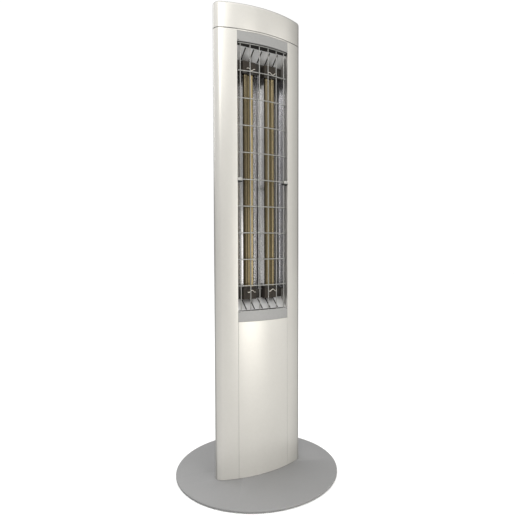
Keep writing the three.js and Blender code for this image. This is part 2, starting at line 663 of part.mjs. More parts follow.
// ---- Lamps ----
// The section of a twin tube grown by play: two round ends and a thinner bridge.
function twinTube(play) {
  const radius = TUBE_RADIUS + play;
  const bridge = Math.asin((LAMP_BRIDGE / 2 + play) / radius);
  const right = arc(TUBE_OFFSET, 0, radius, bridge - Math.PI, Math.PI - bridge, 14);
  return [...right, ...mirrored(right).reverse().map((p) => point(p.x, -p.y))];
}

function makeLamp(side, centre) {
  const tubeBottom = LAMP_BOTTOM - SOCKET_RECESS + GAP;
  const length = LAMP_TOP + SOCKET_RECESS - GAP - tubeBottom;
  const bore = TUBE_RADIUS - LAMP_WALL;
  const bores = [-1, 1].map((s) => arc(s * TUBE_OFFSET, 0, bore, 0, 2 * Math.PI, 12).slice(0, -1));
  place(`${side}_lamp_tube`, prism(twinTube(0), length, bores), goldQuartz, [centre, LAMP_Y, tubeBottom]);

  const leg = (s) => rod(FILAMENT_RADIUS, length - 2, 8).translate(s * TUBE_OFFSET, 0, 1);
  const tie = block(-TUBE_OFFSET, -1, length + GAP, TUBE_OFFSET, 1, length + 2);
  const neck = (s) => rod(FILAMENT_RADIUS / 2, 3, 8).translate(s * TUBE_OFFSET, 0, length - 1.5);
  const hairpin = join([leg(-1), leg(1), neck(-1), neck(1), tie]);
  place(`${side}_filament`, hairpin, tungsten, [centre, LAMP_Y, tubeBottom]);

  for (const [end, z, up] of [["upper", LAMP_TOP, 1], ["lower", LAMP_BOTTOM, -1]]) {
    const [w, d] = [SOCKET_WIDTH / 2, SOCKET_DEPTH / 2];
    const body = block(-w, -d, 0, w, d, SOCKET_HEIGHT);
    const recess = prism(twinTube(SOCKET_CLEARANCE), SOCKET_RECESS + 1).translate(0, 0, -1);
    const wireWell = block(-TUBE_OFFSET - 2, -2, SOCKET_RECESS - 1, TUBE_OFFSET + 2, 2, SOCKET_RECESS + 4);
    const socket = cut(body, [recess, wireWell]);
    const flip = up > 0 ? 0 : Math.PI;
    place(`${side}_lamp_${end}_socket`, socket, ceramic, [centre, LAMP_Y, z], [flip, 0, 0]);

    const grip = TUBE_RADIUS + LAMP_CLIP_STAND;
    const [bulge, dip] = LAMP_CLIP_FOLDS;
    const clipLine = [
      point(-w, grip + LAMP_CLIP_ARM),
      point(-w, -grip),
      point(-w / 2, -grip - bulge),
      point(0, -grip + dip),
      point(w / 2, -grip - bulge),
      point(w, -grip),
      point(w, grip + LAMP_CLIP_ARM),
    ];
    const clip = prism(folded(clipLine.toReversed(), LAMP_CLIP_THICKNESS), LAMP_CLIP_HEIGHT);
    const clipZ = up > 0 ? z - GAP - LAMP_CLIP_HEIGHT : z + GAP;
    place(`${side}_lamp_${end}_clip`, clip, bareSteel, [centre, LAMP_Y, clipZ]);
  }
}

// An L-shaped sheet behind the sockets, from the end reflector at endZ to the lamps' ends at tubeZ,
// where its shelf closes the troughs.
function makeLampBracket(name, tubeZ, endZ, up) {
  const edgeZ = endZ - up * GAP;
  const shelfZ = tubeZ + up * (TROUGH_MARGIN + GAP);
  const wallY = LAMP_Y + SOCKET_DEPTH / 2 + GAP;
  const line = [point(wallY, edgeZ), point(wallY, shelfZ), point(REFLECTOR_BACK_Y, shelfZ)];
  const sheet = folded(line, up * SHEET);
  place(name, cut(beam(sheet, 2 * (CHANNEL_HALF - GAP)), railNotches()), darkSteel);
}

// ---- Wire guard ----
function makeGuard() {
  const rowInset = GUARD_SETBACK + WIRE_RADIUS;
  const columnInset = rowInset + 2 * WIRE_RADIUS - WELD_BITE;
  const y = (x) => faceY(FRONT, x, rowInset);
  const span = GUARD_EDGE - GUARD_BEND;
  const path = Array.from({ length: GUARD_ROW_FACETS + 1 }, (_, i) => {
    const x = span * ((2 * i) / GUARD_ROW_FACETS - 1);
    return new THREE.Vector3(x, y(x), 0);
  });
  const ends = (s) => [
    new THREE.Vector3(s * GUARD_EDGE, y(GUARD_EDGE) + GUARD_BEND, 0),
    new THREE.Vector3(s * GUARD_EDGE, y(GUARD_EDGE) + GUARD_RETURN, 0),
  ];
  const corners = [...ends(-1).reverse(), ...path, ...ends(1)];
  const wire = arc(0, 0, WIRE_RADIUS, 0, 2 * Math.PI, WIRE_SIDES).slice(0, -1);
  const row = () => sweep(corners, wire);
  const half = (GUARD_ROWS - 1) / 2;
  const rows = Array.from({ length: GUARD_ROWS }, (_, i) =>
    row().translate(0, 0, GUARD_MIDDLE + (i - half) * GUARD_ROW_PITCH),
  );
  const length = (GUARD_ROWS - 1) * GUARD_ROW_PITCH + 2 * WIRE_RADIUS + 1;
  const columns = Array.from({ length: GUARD_COLUMNS }, (_, i) => {
    const x = (i - (GUARD_COLUMNS - 1) / 2) * GUARD_COLUMN_PITCH;
    return rod(WIRE_RADIUS, length, WIRE_SIDES).rotateZ(Math.PI / WIRE_SIDES).translate(
      x,
      faceY(FRONT, x, columnInset),
      GUARD_MIDDLE - length / 2,
    );
  });
  place("wire_guard", join([...rows, ...columns]), guardSteel);

  // Two small hooks hold the guard at its middle row.
  for (const [name, side] of [["left_guard_clip", -1], ["right_guard_clip", 1]]) {
    const reach = CHANNEL_HALF - GAP;
    const tip = reach - CLIP_WIDTH;
    const faceAt = y(tip) - WIRE_RADIUS - GAP;
    const line = [
      point(tip, faceAt),
      point(reach - CLIP_THICKNESS, faceAt),
      point(reach - CLIP_THICKNESS, faceAt + GUARD_RETURN),
    ];
    const section = folded(line, -CLIP_THICKNESS).reverse();
    const clip = prism(side < 0 ? mirrored(section) : section, CLIP_HEIGHT);
    const notch = block(-200, faceAt + 0.1, 0, 200, faceAt + 2 * WIRE_RADIUS + 1, 2 * WIRE_RADIUS + 1);
    const seat = CLIP_HEIGHT / 2 - WIRE_RADIUS - 0.5;
    place(name, cut(clip, [notch.translate(0, 0, seat)]), guardSteel, [0, 0, GUARD_MIDDLE - CLIP_HEIGHT / 2]);
  }
}

// A section carried along an open line of corners in the XY plane, mitred at each corner.
function sweep(corners, section) {
  const rings = corners.map((corner, i) => {
    const before = corners[Math.max(i - 1, 0)];
    const after = corners[Math.min(i + 1, corners.length - 1)];
    const inward = corner.clone().sub(i ? before : corner).normalize();
    const outward = after.clone().sub(corner).normalize();
    const heading = inward.add(outward).normalize();
    const step = after.clone().sub(i < corners.length - 1 ? corner : before).normalize();
    const stretch = 1 / Math.max(heading.dot(step), 0.3);
    const side = new THREE.Vector3(-heading.y, heading.x, 0).multiplyScalar(stretch);
    return section.map((p) => corner.clone().addScaledVector(side, -p.x).add(new THREE.Vector3(0, 0, p.y)));
  });
  return skin(rings);
}

// ---- Switches, inlet and wiring ----
function makeSwitches() {
  const seat = BACK_Y + GAP;
  const face = seat + BEZEL[2];
  const box = (w, h, y0, y1) => block(-w / 2, y0, -h / 2, w / 2, y1, h / 2);
  const housing = join([
    box(BEZEL[0], BEZEL[1], seat, face),
    box(BEZEL_BODY[0], BEZEL_BODY[1], seat - BEZEL_BODY[2], seat + 1),
  ]);
  const sweepRadius = Math.hypot(ROCKER_HALF_HEIGHT, ROCKER_EDGE) + ROCKER_CLEARANCE;
  const wellHeight = 2 * sweepRadius;
  const wells = [-1, 1].map((s) =>
    box(ROCKER_WIDTH + 2 * ROCKER_CLEARANCE, wellHeight, face - WELL_DEPTH, face + 2)
      .translate((s * ROCKER_PITCH) / 2, 0, 0),
  );
  place("switch_housing", cut(housing, wells), blackPlastic, [0, 0, SWITCH_HEIGHT]);

  // Drawn in Y and Z about the pivot, with the hollow face outwards.
  const section = [
    point(-ROCKER_ROOT, ROCKER_UNDERCUT - ROCKER_HALF_HEIGHT),
    point(ROCKER_EDGE, -ROCKER_HALF_HEIGHT),
    point(ROCKER_MIDDLE, 0),
    point(ROCKER_EDGE, ROCKER_HALF_HEIGHT),
    point(-ROCKER_ROOT, ROCKER_HALF_HEIGHT - ROCKER_UNDERCUT),
  ];
  for (const [name, side] of [["left_rocker", -1], ["right_rocker", 1]]) {
    const at = [(side * ROCKER_PITCH) / 2, face - PIVOT_DEPTH, SWITCH_HEIGHT];
    place(name, beam(section, ROCKER_WIDTH), blackPlastic, at, [-ROCKER_TILT, 0, 0]);
  }
}

function makeInlet() {
  const [thread, hex, nut] = GLAND_LENGTHS;
  const start = GAP; // the hexagon's seat on the cover
  const stage = (radius, from, to, sides) => rod(radius, to - from, sides).translate(0, 0, from);
  const body = join([
    stage(GLAND_THREAD, -thread, start + 1, 24),
    stage(GLAND_HEX, start, start + hex, 6),
    stage(GLAND_NUT, start + hex - 1, start + hex + nut, 24),
  ]);
  const bore = stage(GLAND_BORE, -thread - 1, start + hex + nut + 1, 20);
  const outwards = [-Math.PI / 2, 0, 0];
  place("cable_gland", cut(body, [bore]), blackPlastic, [0, BACK_Y, GLAND_HEIGHT], outwards);
  const plug = rod(GLAND_BORE - GAP, hex + nut, 16);
  place("gland_membrane", plug, blackRubber, [0, BACK_Y, GLAND_HEIGHT], outwards);
}

function makeTipSwitch() {
  const [width, depth, height] = TIP_BODY;
  const body = block(-width / 2, -depth / 2, 0, width / 2, depth / 2, height);
  const bore = rod(PIN_RADIUS + PIN_CLEARANCE, PIN_LENGTH + SPRING_LENGTH - PLATE_TOP, 12).translate(0, 0, -1);
  place("tip_switch_body", cut(body, [bore]), blackPlastic, [0, TIP_Y, COLUMN_BOTTOM]);

  const pinProfile = [
    [0, 0],
    [PIN_RADIUS - PIN_TIP, 0],
    [PIN_RADIUS, PIN_TIP],
    [PIN_RADIUS, PIN_LENGTH],
    [0, PIN_LENGTH],
  ];
  const pin = turned(pinProfile, 12);
  place("tip_switch_pin", pin, whitePlastic, [0, TIP_Y, 0]);

  const coilLength = SPRING_LENGTH - 2 * SPRING_WIRE - 2 * GAP - 1;
  class Coil extends THREE.Curve {
    getPoint(t, target = new THREE.Vector3()) {
      const angle = 2 * Math.PI * SPRING_TURNS * t;
      return target.set(SPRING_RADIUS * Math.cos(angle), SPRING_RADIUS * Math.sin(angle), t * coilLength);
    }
  }
  const wire = new THREE.Shape(arc(0, 0, SPRING_WIRE, 0, 2 * Math.PI, 5).slice(0, -1));
  const spring = new THREE.ExtrudeGeometry(wire, {
    steps: SPRING_TURNS * 9,
    extrudePath: new Coil(),
    bevelEnabled: false,
  });
  place("tip_switch_spring", spring, bareSteel, [0, TIP_Y, PIN_LENGTH + SPRING_WIRE + GAP]);
}

function makeWiring() {
  const half = CHANNEL_HALF - GAP;
  const boardLine = [
    point(-half, BOARD_Y - BOARD_FLANGE),
    point(-half, BOARD_Y),
    point(half, BOARD_Y),
    point(half, BOARD_Y - BOARD_FLANGE),
  ];
  const board = prism(folded(boardLine, -SHEET), BOARD_HEIGHT);
  place("wiring_board", board, bareSteel, [0, 0, BOARD_BOTTOM]);

  const [width, depth, height] = TERMINAL;
  const body = block(-width / 2, 0, -height / 2, width / 2, depth, height / 2);
  const way = width / TERMINAL_WAYS;
  const wellHalf = way / 2 - TERMINAL_RIM[0];
  const wellTop = height / 2 - TERMINAL_RIM[1];
  const wells = Array.from({ length: TERMINAL_WAYS }, (_, i) => {
    const x = (i - (TERMINAL_WAYS - 1) / 2) * way;
    return block(x - wellHalf, depth - TERMINAL_WELL, -wellTop, x + wellHalf, depth + 1, wellTop);
  });
  const blockY = BOARD_Y + GAP;
  place("terminal_block", cut(body, wells), whitePlastic, [0, blockY, TERMINAL_Z]);

  const cableY = SHIELD_Y + 2 * SHEET + HARNESS_RADIUS + 2;
  const topZ = LAMP_TOP + SOCKET_HEIGHT / 2;
  const start = TERMINAL_Z + height / 2 + GAP;
  const stops = [
    [HARNESS_X, blockY + depth / 2, start],
    [HARNESS_X, blockY + depth / 2, start + 30],
    [HARNESS_X, cableY - 14, LAMP_BOTTOM - 110],
    [HARNESS_X, cableY, LAMP_BOTTOM - 60],
    [HARNESS_X, cableY, LAMP_TOP - 30],
    [HARNESS_X, cableY, LAMP_TOP + 5],
    [HARNESS_X, cableY - 6, topZ],
    [HARNESS_X, cableY - 20, topZ + 3],
    [HARNESS_X, LAMP_Y + SOCKET_DEPTH / 2 + SHEET + 2 * GAP + 1, topZ + 3],
  ];
  const route = new THREE.CatmullRomCurve3(stops.map((p) => new THREE.Vector3(...p)), false, "catmullrom", 0.1);
  const section = new THREE.Shape(arc(0, 0, HARNESS_RADIUS, 0, 2 * Math.PI, 8).slice(0, -1));
  const cable = new THREE.ExtrudeGeometry(section, { steps: 60, extrudePath: route, bevelEnabled: false });
  place("lamp_harness", cable, redCable);
}

makeBase();
makeFootBracket();
makeProfiles();
makeFrontCovers();
makeRearCover();
makeTopPlate();
makeCap();
makeReflectors();
makeEndReflector("top_end_reflector", WINDOW_TOP, TOP_SLOPE, 1);
makeEndReflector("bottom_end_reflector", WINDOW_BOTTOM, BOTTOM_SLOPE, -1);
makeLamp("left", -LAMP_SPACING / 2);
makeLamp("right", LAMP_SPACING / 2);
makeLampBracket("upper_lamp_bracket", LAMP_TOP, WINDOW_TOP - TOP_SLOPE[1], 1);
makeLampBracket("lower_lamp_bracket", LAMP_BOTTOM, WINDOW_BOTTOM + BOTTOM_SLOPE[1], -1);
makeGuard();
makeSwitches();
makeInlet();
makeTipSwitch();
makeWiring();

export default heater;
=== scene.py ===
"""A free-standing infrared terrace heater.

A slim lens-section column stands on a round plate, with two twin-tube lamps in its upper half.
"""

import json
import math

import bmesh
import bpy
import numpy as np
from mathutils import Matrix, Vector


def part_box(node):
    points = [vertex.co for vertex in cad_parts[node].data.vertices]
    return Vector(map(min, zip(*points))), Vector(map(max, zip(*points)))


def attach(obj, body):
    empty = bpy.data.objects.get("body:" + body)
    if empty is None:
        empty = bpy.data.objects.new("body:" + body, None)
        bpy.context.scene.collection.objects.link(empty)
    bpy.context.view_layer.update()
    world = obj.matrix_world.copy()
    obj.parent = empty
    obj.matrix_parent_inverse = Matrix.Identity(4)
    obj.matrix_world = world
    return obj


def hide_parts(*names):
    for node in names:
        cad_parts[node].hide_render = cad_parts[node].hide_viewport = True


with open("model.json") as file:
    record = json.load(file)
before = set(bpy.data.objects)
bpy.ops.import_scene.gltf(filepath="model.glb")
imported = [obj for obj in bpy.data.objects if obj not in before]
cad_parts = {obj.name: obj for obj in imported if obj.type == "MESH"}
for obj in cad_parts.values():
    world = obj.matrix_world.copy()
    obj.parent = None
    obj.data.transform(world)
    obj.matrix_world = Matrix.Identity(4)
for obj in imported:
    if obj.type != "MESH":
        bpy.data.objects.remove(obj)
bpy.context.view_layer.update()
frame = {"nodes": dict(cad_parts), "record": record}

MM = 0.001
FRONT, BACK = -1.0, 1.0

# ---- The column's section, as the frame has it ----
END_RADIUS = 22 * MM
BULGE = {FRONT: 46 * MM, BACK: 64 * MM}
WIDEST_Y = (BULGE[FRONT] - BULGE[BACK]) / 2
PROFILE_WALL = 2.2 * MM
COVER_WALL = 2 * MM
COVER_LEG = 12 * MM
CAP_WALL = 2.5 * MM
CAP_EDGE = 9 * MM
SHEET = 1 * MM
WIRE_RADIUS = 1.5 * MM
GUARD_SETBACK = 3.2 * MM
GUARD_RETURN = 14 * MM
GUARD_COLUMNS = 6
GUARD_ROWS = 11
GUARD_COLUMN_PITCH = 29.2 * MM
GUARD_OVERRUN = 2 * MM  # how far the upright wires stand out beyond the end rows' middle
WELD_BITE = 0.6 * MM
GUARD_BEND = 5 * MM
TRIM_LIP = 5 * MM

HALF_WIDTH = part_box("top_cap")[1].x
COVER_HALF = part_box("lower_front_cover")[1].x
REFLECTOR_EDGE_GAP = 1.3 * MM
CHANNEL_HALF = -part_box("left_reflector")[0].x + REFLECTOR_EDGE_GAP


# ---- Curves in the plan ----
def face_radius(face):
    """Radius of the face's arc: it passes the apex and is tangent to the end circles."""
    reach = HALF_WIDTH - END_RADIUS
    bulge = BULGE[face]
    return (reach**2 + bulge**2 - END_RADIUS**2) / (2 * (bulge - END_RADIUS))


def face_y(face, x, inset=0.0):
    """The y of the face's arc at x: the apex less the sagitta, on the parallel arc inset inside it."""
    radius = face_radius(face)
    return WIDEST_Y + face * (BULGE[face] - radius + np.sqrt((radius - inset) ** 2 - np.square(x)))


def face_arc(face, start, stop, inset=0.0, count=48):
    """Points of the face's arc with evenly spaced x."""
    x = np.linspace(start, stop, count)
    return np.column_stack([x, face_y(face, x, inset)])


def circle_arc(centre, radius, start, stop, count):
    """Points of a circle between two angles."""
    angle = np.linspace(start, stop, count)
    return np.asarray(centre) + radius * np.column_stack([np.cos(angle), np.sin(angle)])


def tangent_angle(face):
    """Angle, from the column's axis, at which the face's arc turns into the end circle."""
    return math.atan2(HALF_WIDTH - END_RADIUS, face_radius(face) - BULGE[face])


def tangent_x(face, inset=0.0):
    """The x at which the face's arc turns into the end circle."""
    return (face_radius(face) - inset) * math.sin(tangent_angle(face))


def end_arc(inset=0.0, count=28):
    """The rounded right-hand side, from the front face to the back face."""
    start = tangent_angle(FRONT) - math.pi / 2
    stop = math.pi / 2 - tangent_angle(BACK)
    return circle_arc((HALF_WIDTH - END_RADIUS, WIDEST_Y), END_RADIUS - inset, start, stop, count)


def mirrored(points):
    """The same points on the other side of x = 0, in reversed order so that they still run anticlockwise."""
    return (points * [-1, 1])[::-1]


def outline(inset=0.0):
    """The whole section, anticlockwise: front arc, right end, back arc, left end."""
    front, back = tangent_x(FRONT, inset), tangent_x(BACK, inset)
    return np.concatenate(
        [
            face_arc(FRONT, -front, front, inset, 96)[:-1],
            end_arc(inset),
            face_arc(BACK, back, -back, inset, 96)[1:-1],
            mirrored(end_arc(inset))[:-1],
        ]
    )


def chamber(inset=0.0):
    """The section of the right side profile: the outline beyond the channel's straight wall."""
    wall = CHANNEL_HALF + inset
    return np.concatenate(
        [
            face_arc(FRONT, wall, tangent_x(FRONT, inset), inset, 24)[:-1],
            end_arc(inset),
            face_arc(BACK, tangent_x(BACK, inset), wall, inset, 24)[1:],
        ]
    )


BEND_SHARE = 0.45  # the most of a side that a bend may take up


def filleted(corners, radius, count=7):
    """An open line of corners, each inner one replaced by a quadratic curve that starts radius before it."""
    corners = np.asarray(corners, float)
    before, corner, after = corners[:-2], corners[1:-1], corners[2:]

    def towards(other):
        away = other - corner
        length = np.linalg.norm(away, axis=1, keepdims=True)
        return corner + away / length * np.minimum(radius, length * BEND_SHARE)

    t = np.linspace(0, 1, count)[None, :, None]
    start, stop = towards(before)[:, None], towards(after)[:, None]
    bends = (1 - t) ** 2 * start + 2 * t * (1 - t) * corner[:, None] + t**2 * stop
    return np.concatenate([corners[:1], bends.reshape(-1, corners.shape[1]), corners[-1:]])


def band(line, thickness):
    """The closed outline of a sheet: the open line, and the line moved to its left by the thickness."""
    step = np.gradient(line, axis=0)
    step /= np.linalg.norm(step, axis=1, keepdims=True)
    left = np.column_stack([-step[:, 1], step[:, 0]])
    return np.concatenate([line, (line + left * thickness)[::-1]])


# ---- Surfaces ----
def grid_faces(rows, columns, wrap_rows=False, wrap_columns=True, offset=0):
    """Quads between neighbouring points of a grid of rows and columns, wrapped round where asked."""
    i = np.arange(rows if wrap_rows else rows - 1)[:, None]
    j = np.arange(columns if wrap_columns else columns - 1)[None, :]
    here, up = i * columns, ((i + 1) % rows) * columns
    after = (j + 1) % columns
    quads = np.stack([here + j, here + after, up + after, up + j], axis=-1)
    return quads.reshape(-1, 4) + offset


def loft(rings, wrap_rows=False, caps=True):
    """(points, faces) of closed rings joined one to the next, with a flat face over the first and last."""
    rings = np.asarray(rings, float)
    rows, columns = rings.shape[:2]
    faces = grid_faces(rows, columns, wrap_rows).tolist()
    if caps and not wrap_rows:
        faces.append(list(range(columns))[::-1])
        faces.append(list(range((rows - 1) * columns, rows * columns)))
    return rings.reshape(-1, 3), faces


def ring_at(points, z):
    """A plan outline lifted to the height z."""
    return np.column_stack([points, np.full(len(points), z)])


def prism(points, low, high):
    """The plan outline carried straight up from low to high."""
    return loft([ring_at(points, low), ring_at(points, high)])


def beam(points, low, high):
    """An outline drawn in Y and Z, carried along X from low to high."""
    ends = [np.column_stack([np.full(len(points), x), points]) for x in (low, high)]
    return loft(ends)


def tube(path, radius, sides=16, axis=(0, 0, 1)):
    """A round section carried along a path that lies across the axis: centre + r (cos a side - sin a up)."""
    path = np.asarray(path, float)
    step = np.gradient(path, axis=0)
    step /= np.linalg.norm(step, axis=1, keepdims=True)
    side = np.cross(step, np.asarray(axis, float))
    side /= np.linalg.norm(side, axis=1, keepdims=True)
    up = np.cross(side, step)
    angle = np.linspace(0, 2 * np.pi, sides, endpoint=False)[None, :, None]
    rings = path[:, None] + radius * (np.cos(angle) * side[:, None] - np.sin(angle) * up[:, None])
    return loft(rings)


def joined(*parts):
    """Several (points, faces) pairs as one."""
    points, faces, offset = [], [], 0
    for part_points, part_faces in parts:
        points.append(part_points)
        faces += [[v + offset for v in face] for face in part_faces]
        offset += len(part_points)
    return np.concatenate(points), faces


# ---- Pieces ----
EDGE_SEGMENTS = 2
MERGE_DISTANCE = 0.01 * MM
FLAT_ANGLE = math.radians(2)  # faces that meet at less than this are one flat face

frame_scene = bpy.context.scene
slot_of = {part["node"]: part["material_slot"] for part in frame["record"]["subparts"]}


def piece(name, surface, material, edge=0.0, stands_for=(), angle=40):
    """A piece of the column from (points, faces). It is rounded by edge where it turns by over angle."""
    points, faces = surface
    mesh = bpy.data.meshes.new(name)
    mesh.from_pydata(points.tolist(), [], faces)
    mesh.validate()
    made = bpy.data.objects.new(name, mesh)
    frame_scene.collection.objects.link(made)
    return finished(made, material, "column", edge, stands_for, angle)


def finished(made, material, body, edge, stands_for, angle):
    """The steps that every piece ends with: material, edges, body, and the frame node it stands for."""
    mesh = made.data
    mesh.materials.clear()
    mesh.materials.append(material)
    mesh.shade_smooth()
    if edge:
        bevel = made.modifiers.new("edges", "BEVEL")
        bevel.width = edge
        bevel.segments = EDGE_SEGMENTS
        bevel.limit_method = "ANGLE"
        bevel.angle_limit = math.radians(angle)
        bevel.harden_normals = True
    else:
        mesh.set_sharp_from_angle(angle=math.radians(angle))
    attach(made, body)
    if stands_for:
        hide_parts(*stands_for)
    return made


def refined(node, material, edge, body="column", angle=25):
    """A frame node's shape: loose triangles merged, flat faces made whole and edges rounded."""
    mesh = bpy.data.meshes.new(node + "_piece")
    build = bmesh.new()
    build.from_mesh(frame["nodes"][node].data)
    bmesh.ops.remove_doubles(build, verts=build.verts, dist=MERGE_DISTANCE)
    bmesh.ops.dissolve_limit(build, angle_limit=FLAT_ANGLE, verts=build.verts, edges=build.edges)
    build.to_mesh(mesh)
    build.free()
    made = bpy.data.objects.new(node + "_piece", mesh)
    frame_scene.collection.objects.link(made)
    return finished(made, material, body, edge, (node,), angle)


# ---- Shader building ----
def add(tree, kind, links=None, **values):
    """A node with its properties and inputs set. links maps an input's name to the socket that feeds it."""
    node = tree.nodes.new(kind)
    for key, value in values.items():
        if hasattr(node, key) and key not in node.inputs:
            setattr(node, key, value)
        else:
            node.inputs[key].default_value = value
    for key, source in (links or {}).items():
        tree.links.new(source, node.inputs[key])
    return node


def new_group(name, inputs, outputs):
    """An empty node group with float or vector inputs and outputs, and its two end nodes."""
    group = bpy.data.node_groups.new(name, "ShaderNodeTree")
    for label, kind, value in inputs:
        socket = group.interface.new_socket(label, in_out="INPUT", socket_type=kind)
        if value is not None:
            socket.default_value = value
    for label, kind in outputs:
        group.interface.new_socket(label, in_out="OUTPUT", socket_type=kind)
    return group, group.nodes.new("NodeGroupInput"), group.nodes.new("NodeGroupOutput")


FLOAT, VECTOR = "NodeSocketFloat", "NodeSocketVector"
FINE_MOTTLE = 10.0  # how much finer the second layer of the mottle is than the first
DUST_UPWARD = 0.7  # dust on a level face, before the noise breaks it
WEAR_SHEEN_FROM, WEAR_SHEEN_TO = 0.52, 0.62  # pointiness at which the edge tint starts, and at which it is whole: wear, and on the base plate a painted rim highlight


def make_mottle_group():
    """Two layers of soft noise, one ten times finer than the other, stretched to 0-1 about the middle."""
    inputs = [("Vector", VECTOR, None), ("Size", FLOAT, 20.0), ("Contrast", FLOAT, 1.0)]
    group, start, end = new_group("soft mottle", inputs, [("Mask", FLOAT)])
    where, size = start.outputs["Vector"], start.outputs["Size"]
    broad = add(group, "ShaderNodeTexNoise", {"Vector": where, "Scale": size}, Detail=3.0)
    fine_size = add(group, "ShaderNodeMath", {0: size}, operation="MULTIPLY")
    fine_size.inputs[1].default_value = FINE_MOTTLE
    fine = add(group, "ShaderNodeTexNoise", {"Vector": where, "Scale": fine_size.outputs[0]})
    layers = {0: broad.outputs["Fac"], 1: fine.outputs["Fac"]}
    both = add(group, "ShaderNodeMath", layers, operation="ADD")
    centred = add(group, "ShaderNodeMath", {0: both.outputs[0]}, operation="SUBTRACT")
    centred.inputs[1].default_value = 1.0
    stretched = add(
        group,
        "ShaderNodeMath",
        {0: centred.outputs[0], 1: start.outputs["Contrast"]},
        operation="MULTIPLY_ADD",
        use_clamp=True,
    )
    stretched.inputs[2].default_value = 0.5
    group.links.new(stretched.outputs[0], end.inputs["Mask"])
    return group


def make_grain_group():
    """Fine noise stretched along one axis: Stretch below 1 draws lines out along Z."""
    inputs = [("Vector", VECTOR, None), ("Size", FLOAT, 800.0), ("Stretch", VECTOR, (1.0, 1.0, 1.0))]
    group, start, end = new_group("fine grain", inputs, [("Height", FLOAT)])
    scaled = add(
        group,
        "ShaderNodeVectorMath",
        {0: start.outputs["Vector"], 1: start.outputs["Stretch"]},
        operation="MULTIPLY",
    )
    noise = add(group, "ShaderNodeTexNoise", {"Vector": scaled.outputs[0], "Scale": start.outputs["Size"]})
    noise.inputs["Detail"].default_value = 2.0
    group.links.new(noise.outputs["Fac"], end.inputs["Height"])
    return group


def make_dust_group():
    """Dust: high where the surface looks up, broken by noise, and fading above the given height."""
    inputs = [("Vector", VECTOR, None), ("Amount", FLOAT, 0.3), ("Reach", FLOAT, 0.05)]
    group, start, end = new_group("settled dust", inputs, [("Mask", FLOAT)])
    geometry = add(group, "ShaderNodeNewGeometry")
    normal = add(group, "ShaderNodeSeparateXYZ", {0: geometry.outputs["Normal"]})
    place = add(group, "ShaderNodeSeparateXYZ", {0: start.outputs["Vector"]})
    upward = add(group, "ShaderNodeMath", {0: normal.outputs["Z"]}, operation="MULTIPLY", use_clamp=True)
    upward.inputs[1].default_value = DUST_UPWARD
    rise = {0: place.outputs["Z"], 1: start.outputs["Reach"]}
    low = add(group, "ShaderNodeMath", rise, operation="DIVIDE")
    near = add(group, "ShaderNodeMath", {1: low.outputs[0]}, operation="SUBTRACT", use_clamp=True)
    near.inputs[0].default_value = 1.0
    reasons = {0: upward.outputs[0], 1: near.outputs[0]}
    either = add(group, "ShaderNodeMath", reasons, operation="MAXIMUM")
    noise = add(group, "ShaderNodeTexNoise", {"Vector": start.outputs["Vector"]}, Scale=60.0, Detail=6.0)
    specks = {0: either.outputs[0], 1: noise.outputs["Fac"]}
    broken = add(group, "ShaderNodeMath", specks, operation="MULTIPLY")
    mask = add(
        group,
        "ShaderNodeMath",
        {0: broken.outputs[0], 1: start.outputs["Amount"]},
        operation="MULTIPLY",
        use_clamp=True,
    )
    group.links.new(mask.outputs[0], end.inputs["Mask"])
    return group


def make_edge_group():
    """Worn edges, and a painted highlight on the base plate's rim: where the surface turns sharply outwards,
    from the geometry's pointiness.
    """
    inputs = [("Vector", VECTOR, None), ("Amount", FLOAT, 0.5)]
    group, start, end = new_group("worn and highlighted edges", inputs, [("Mask", FLOAT)])
    geometry = add(group, "ShaderNodeNewGeometry")
    sharp = add(group, "ShaderNodeMapRange", {"Value": geometry.outputs["Pointiness"]})
    sharp.inputs["From Min"].default_value = WEAR_SHEEN_FROM
    sharp.inputs["From Max"].default_value = WEAR_SHEEN_TO
    noise = add(group, "ShaderNodeTexNoise", {"Vector": start.outputs["Vector"]}, Scale=140.0, Detail=4.0)
    chips = {0: sharp.outputs[0], 1: noise.outputs["Fac"]}
    broken = add(group, "ShaderNodeMath", chips, operation="MULTIPLY")
    mask = add(
        group,
        "ShaderNodeMath",
        {0: broken.outputs[0], 1: start.outputs["Amount"]},
        operation="MULTIPLY",
        use_clamp=True,
    )
    group.links.new(mask.outputs[0], end.inputs["Mask"])
    return group


GROUPS = {
    "mottle": make_mottle_group(),
    "grain": make_grain_group(),
    "dust": make_dust_group(),
    "edges": make_edge_group(),
}


def placed(tree, group, links, **values):
    """A node group in a material, with its own values."""
    node = tree.nodes.new("ShaderNodeGroup")
    node.node_tree = GROUPS[group]
    for key, value in values.items():
        node.inputs[key].default_value = value
    for key, source in links.items():
        tree.links.new(source, node.inputs[key])
    return node


def blended(tree, factor, first, second):
    """A colour mix whose two sides are sockets or plain colours, mixed by the factor's socket."""
    mix = tree.nodes.new("ShaderNodeMix")
    mix.data_type = "RGBA"
    tree.links.new(factor, mix.inputs["Factor"])
    sides = [socket for socket in mix.inputs if socket.type == "RGBA"]
    for socket, value in zip(sides, (first, second)):
        if isinstance(value, bpy.types.NodeSocket):
            tree.links.new(value, socket)
        else:
            socket.default_value = (*value, 1.0)
    return next(socket for socket in mix.outputs if socket.type == "RGBA")


def spread(tree, factor, low, high):
    """The factor mapped from 0-1 to low-high."""
    node = add(tree, "ShaderNodeMapRange", {"Value": factor})
    node.inputs["To Min"].default_value = low
    node.inputs["To Max"].default_value = high
    return node.outputs[0]


DUST_COLOUR = (0.42, 0.39, 0.34)
FLOP_SHADE_FROM, FLOP_SHADE_TO = 0.34, 0.62  # facing, from square on at 0 to edge-on at 1, over which the colour darkens: the paint's flop, and painted shade on the edges
GRAIN_HEIGHT = 0.4 * MM


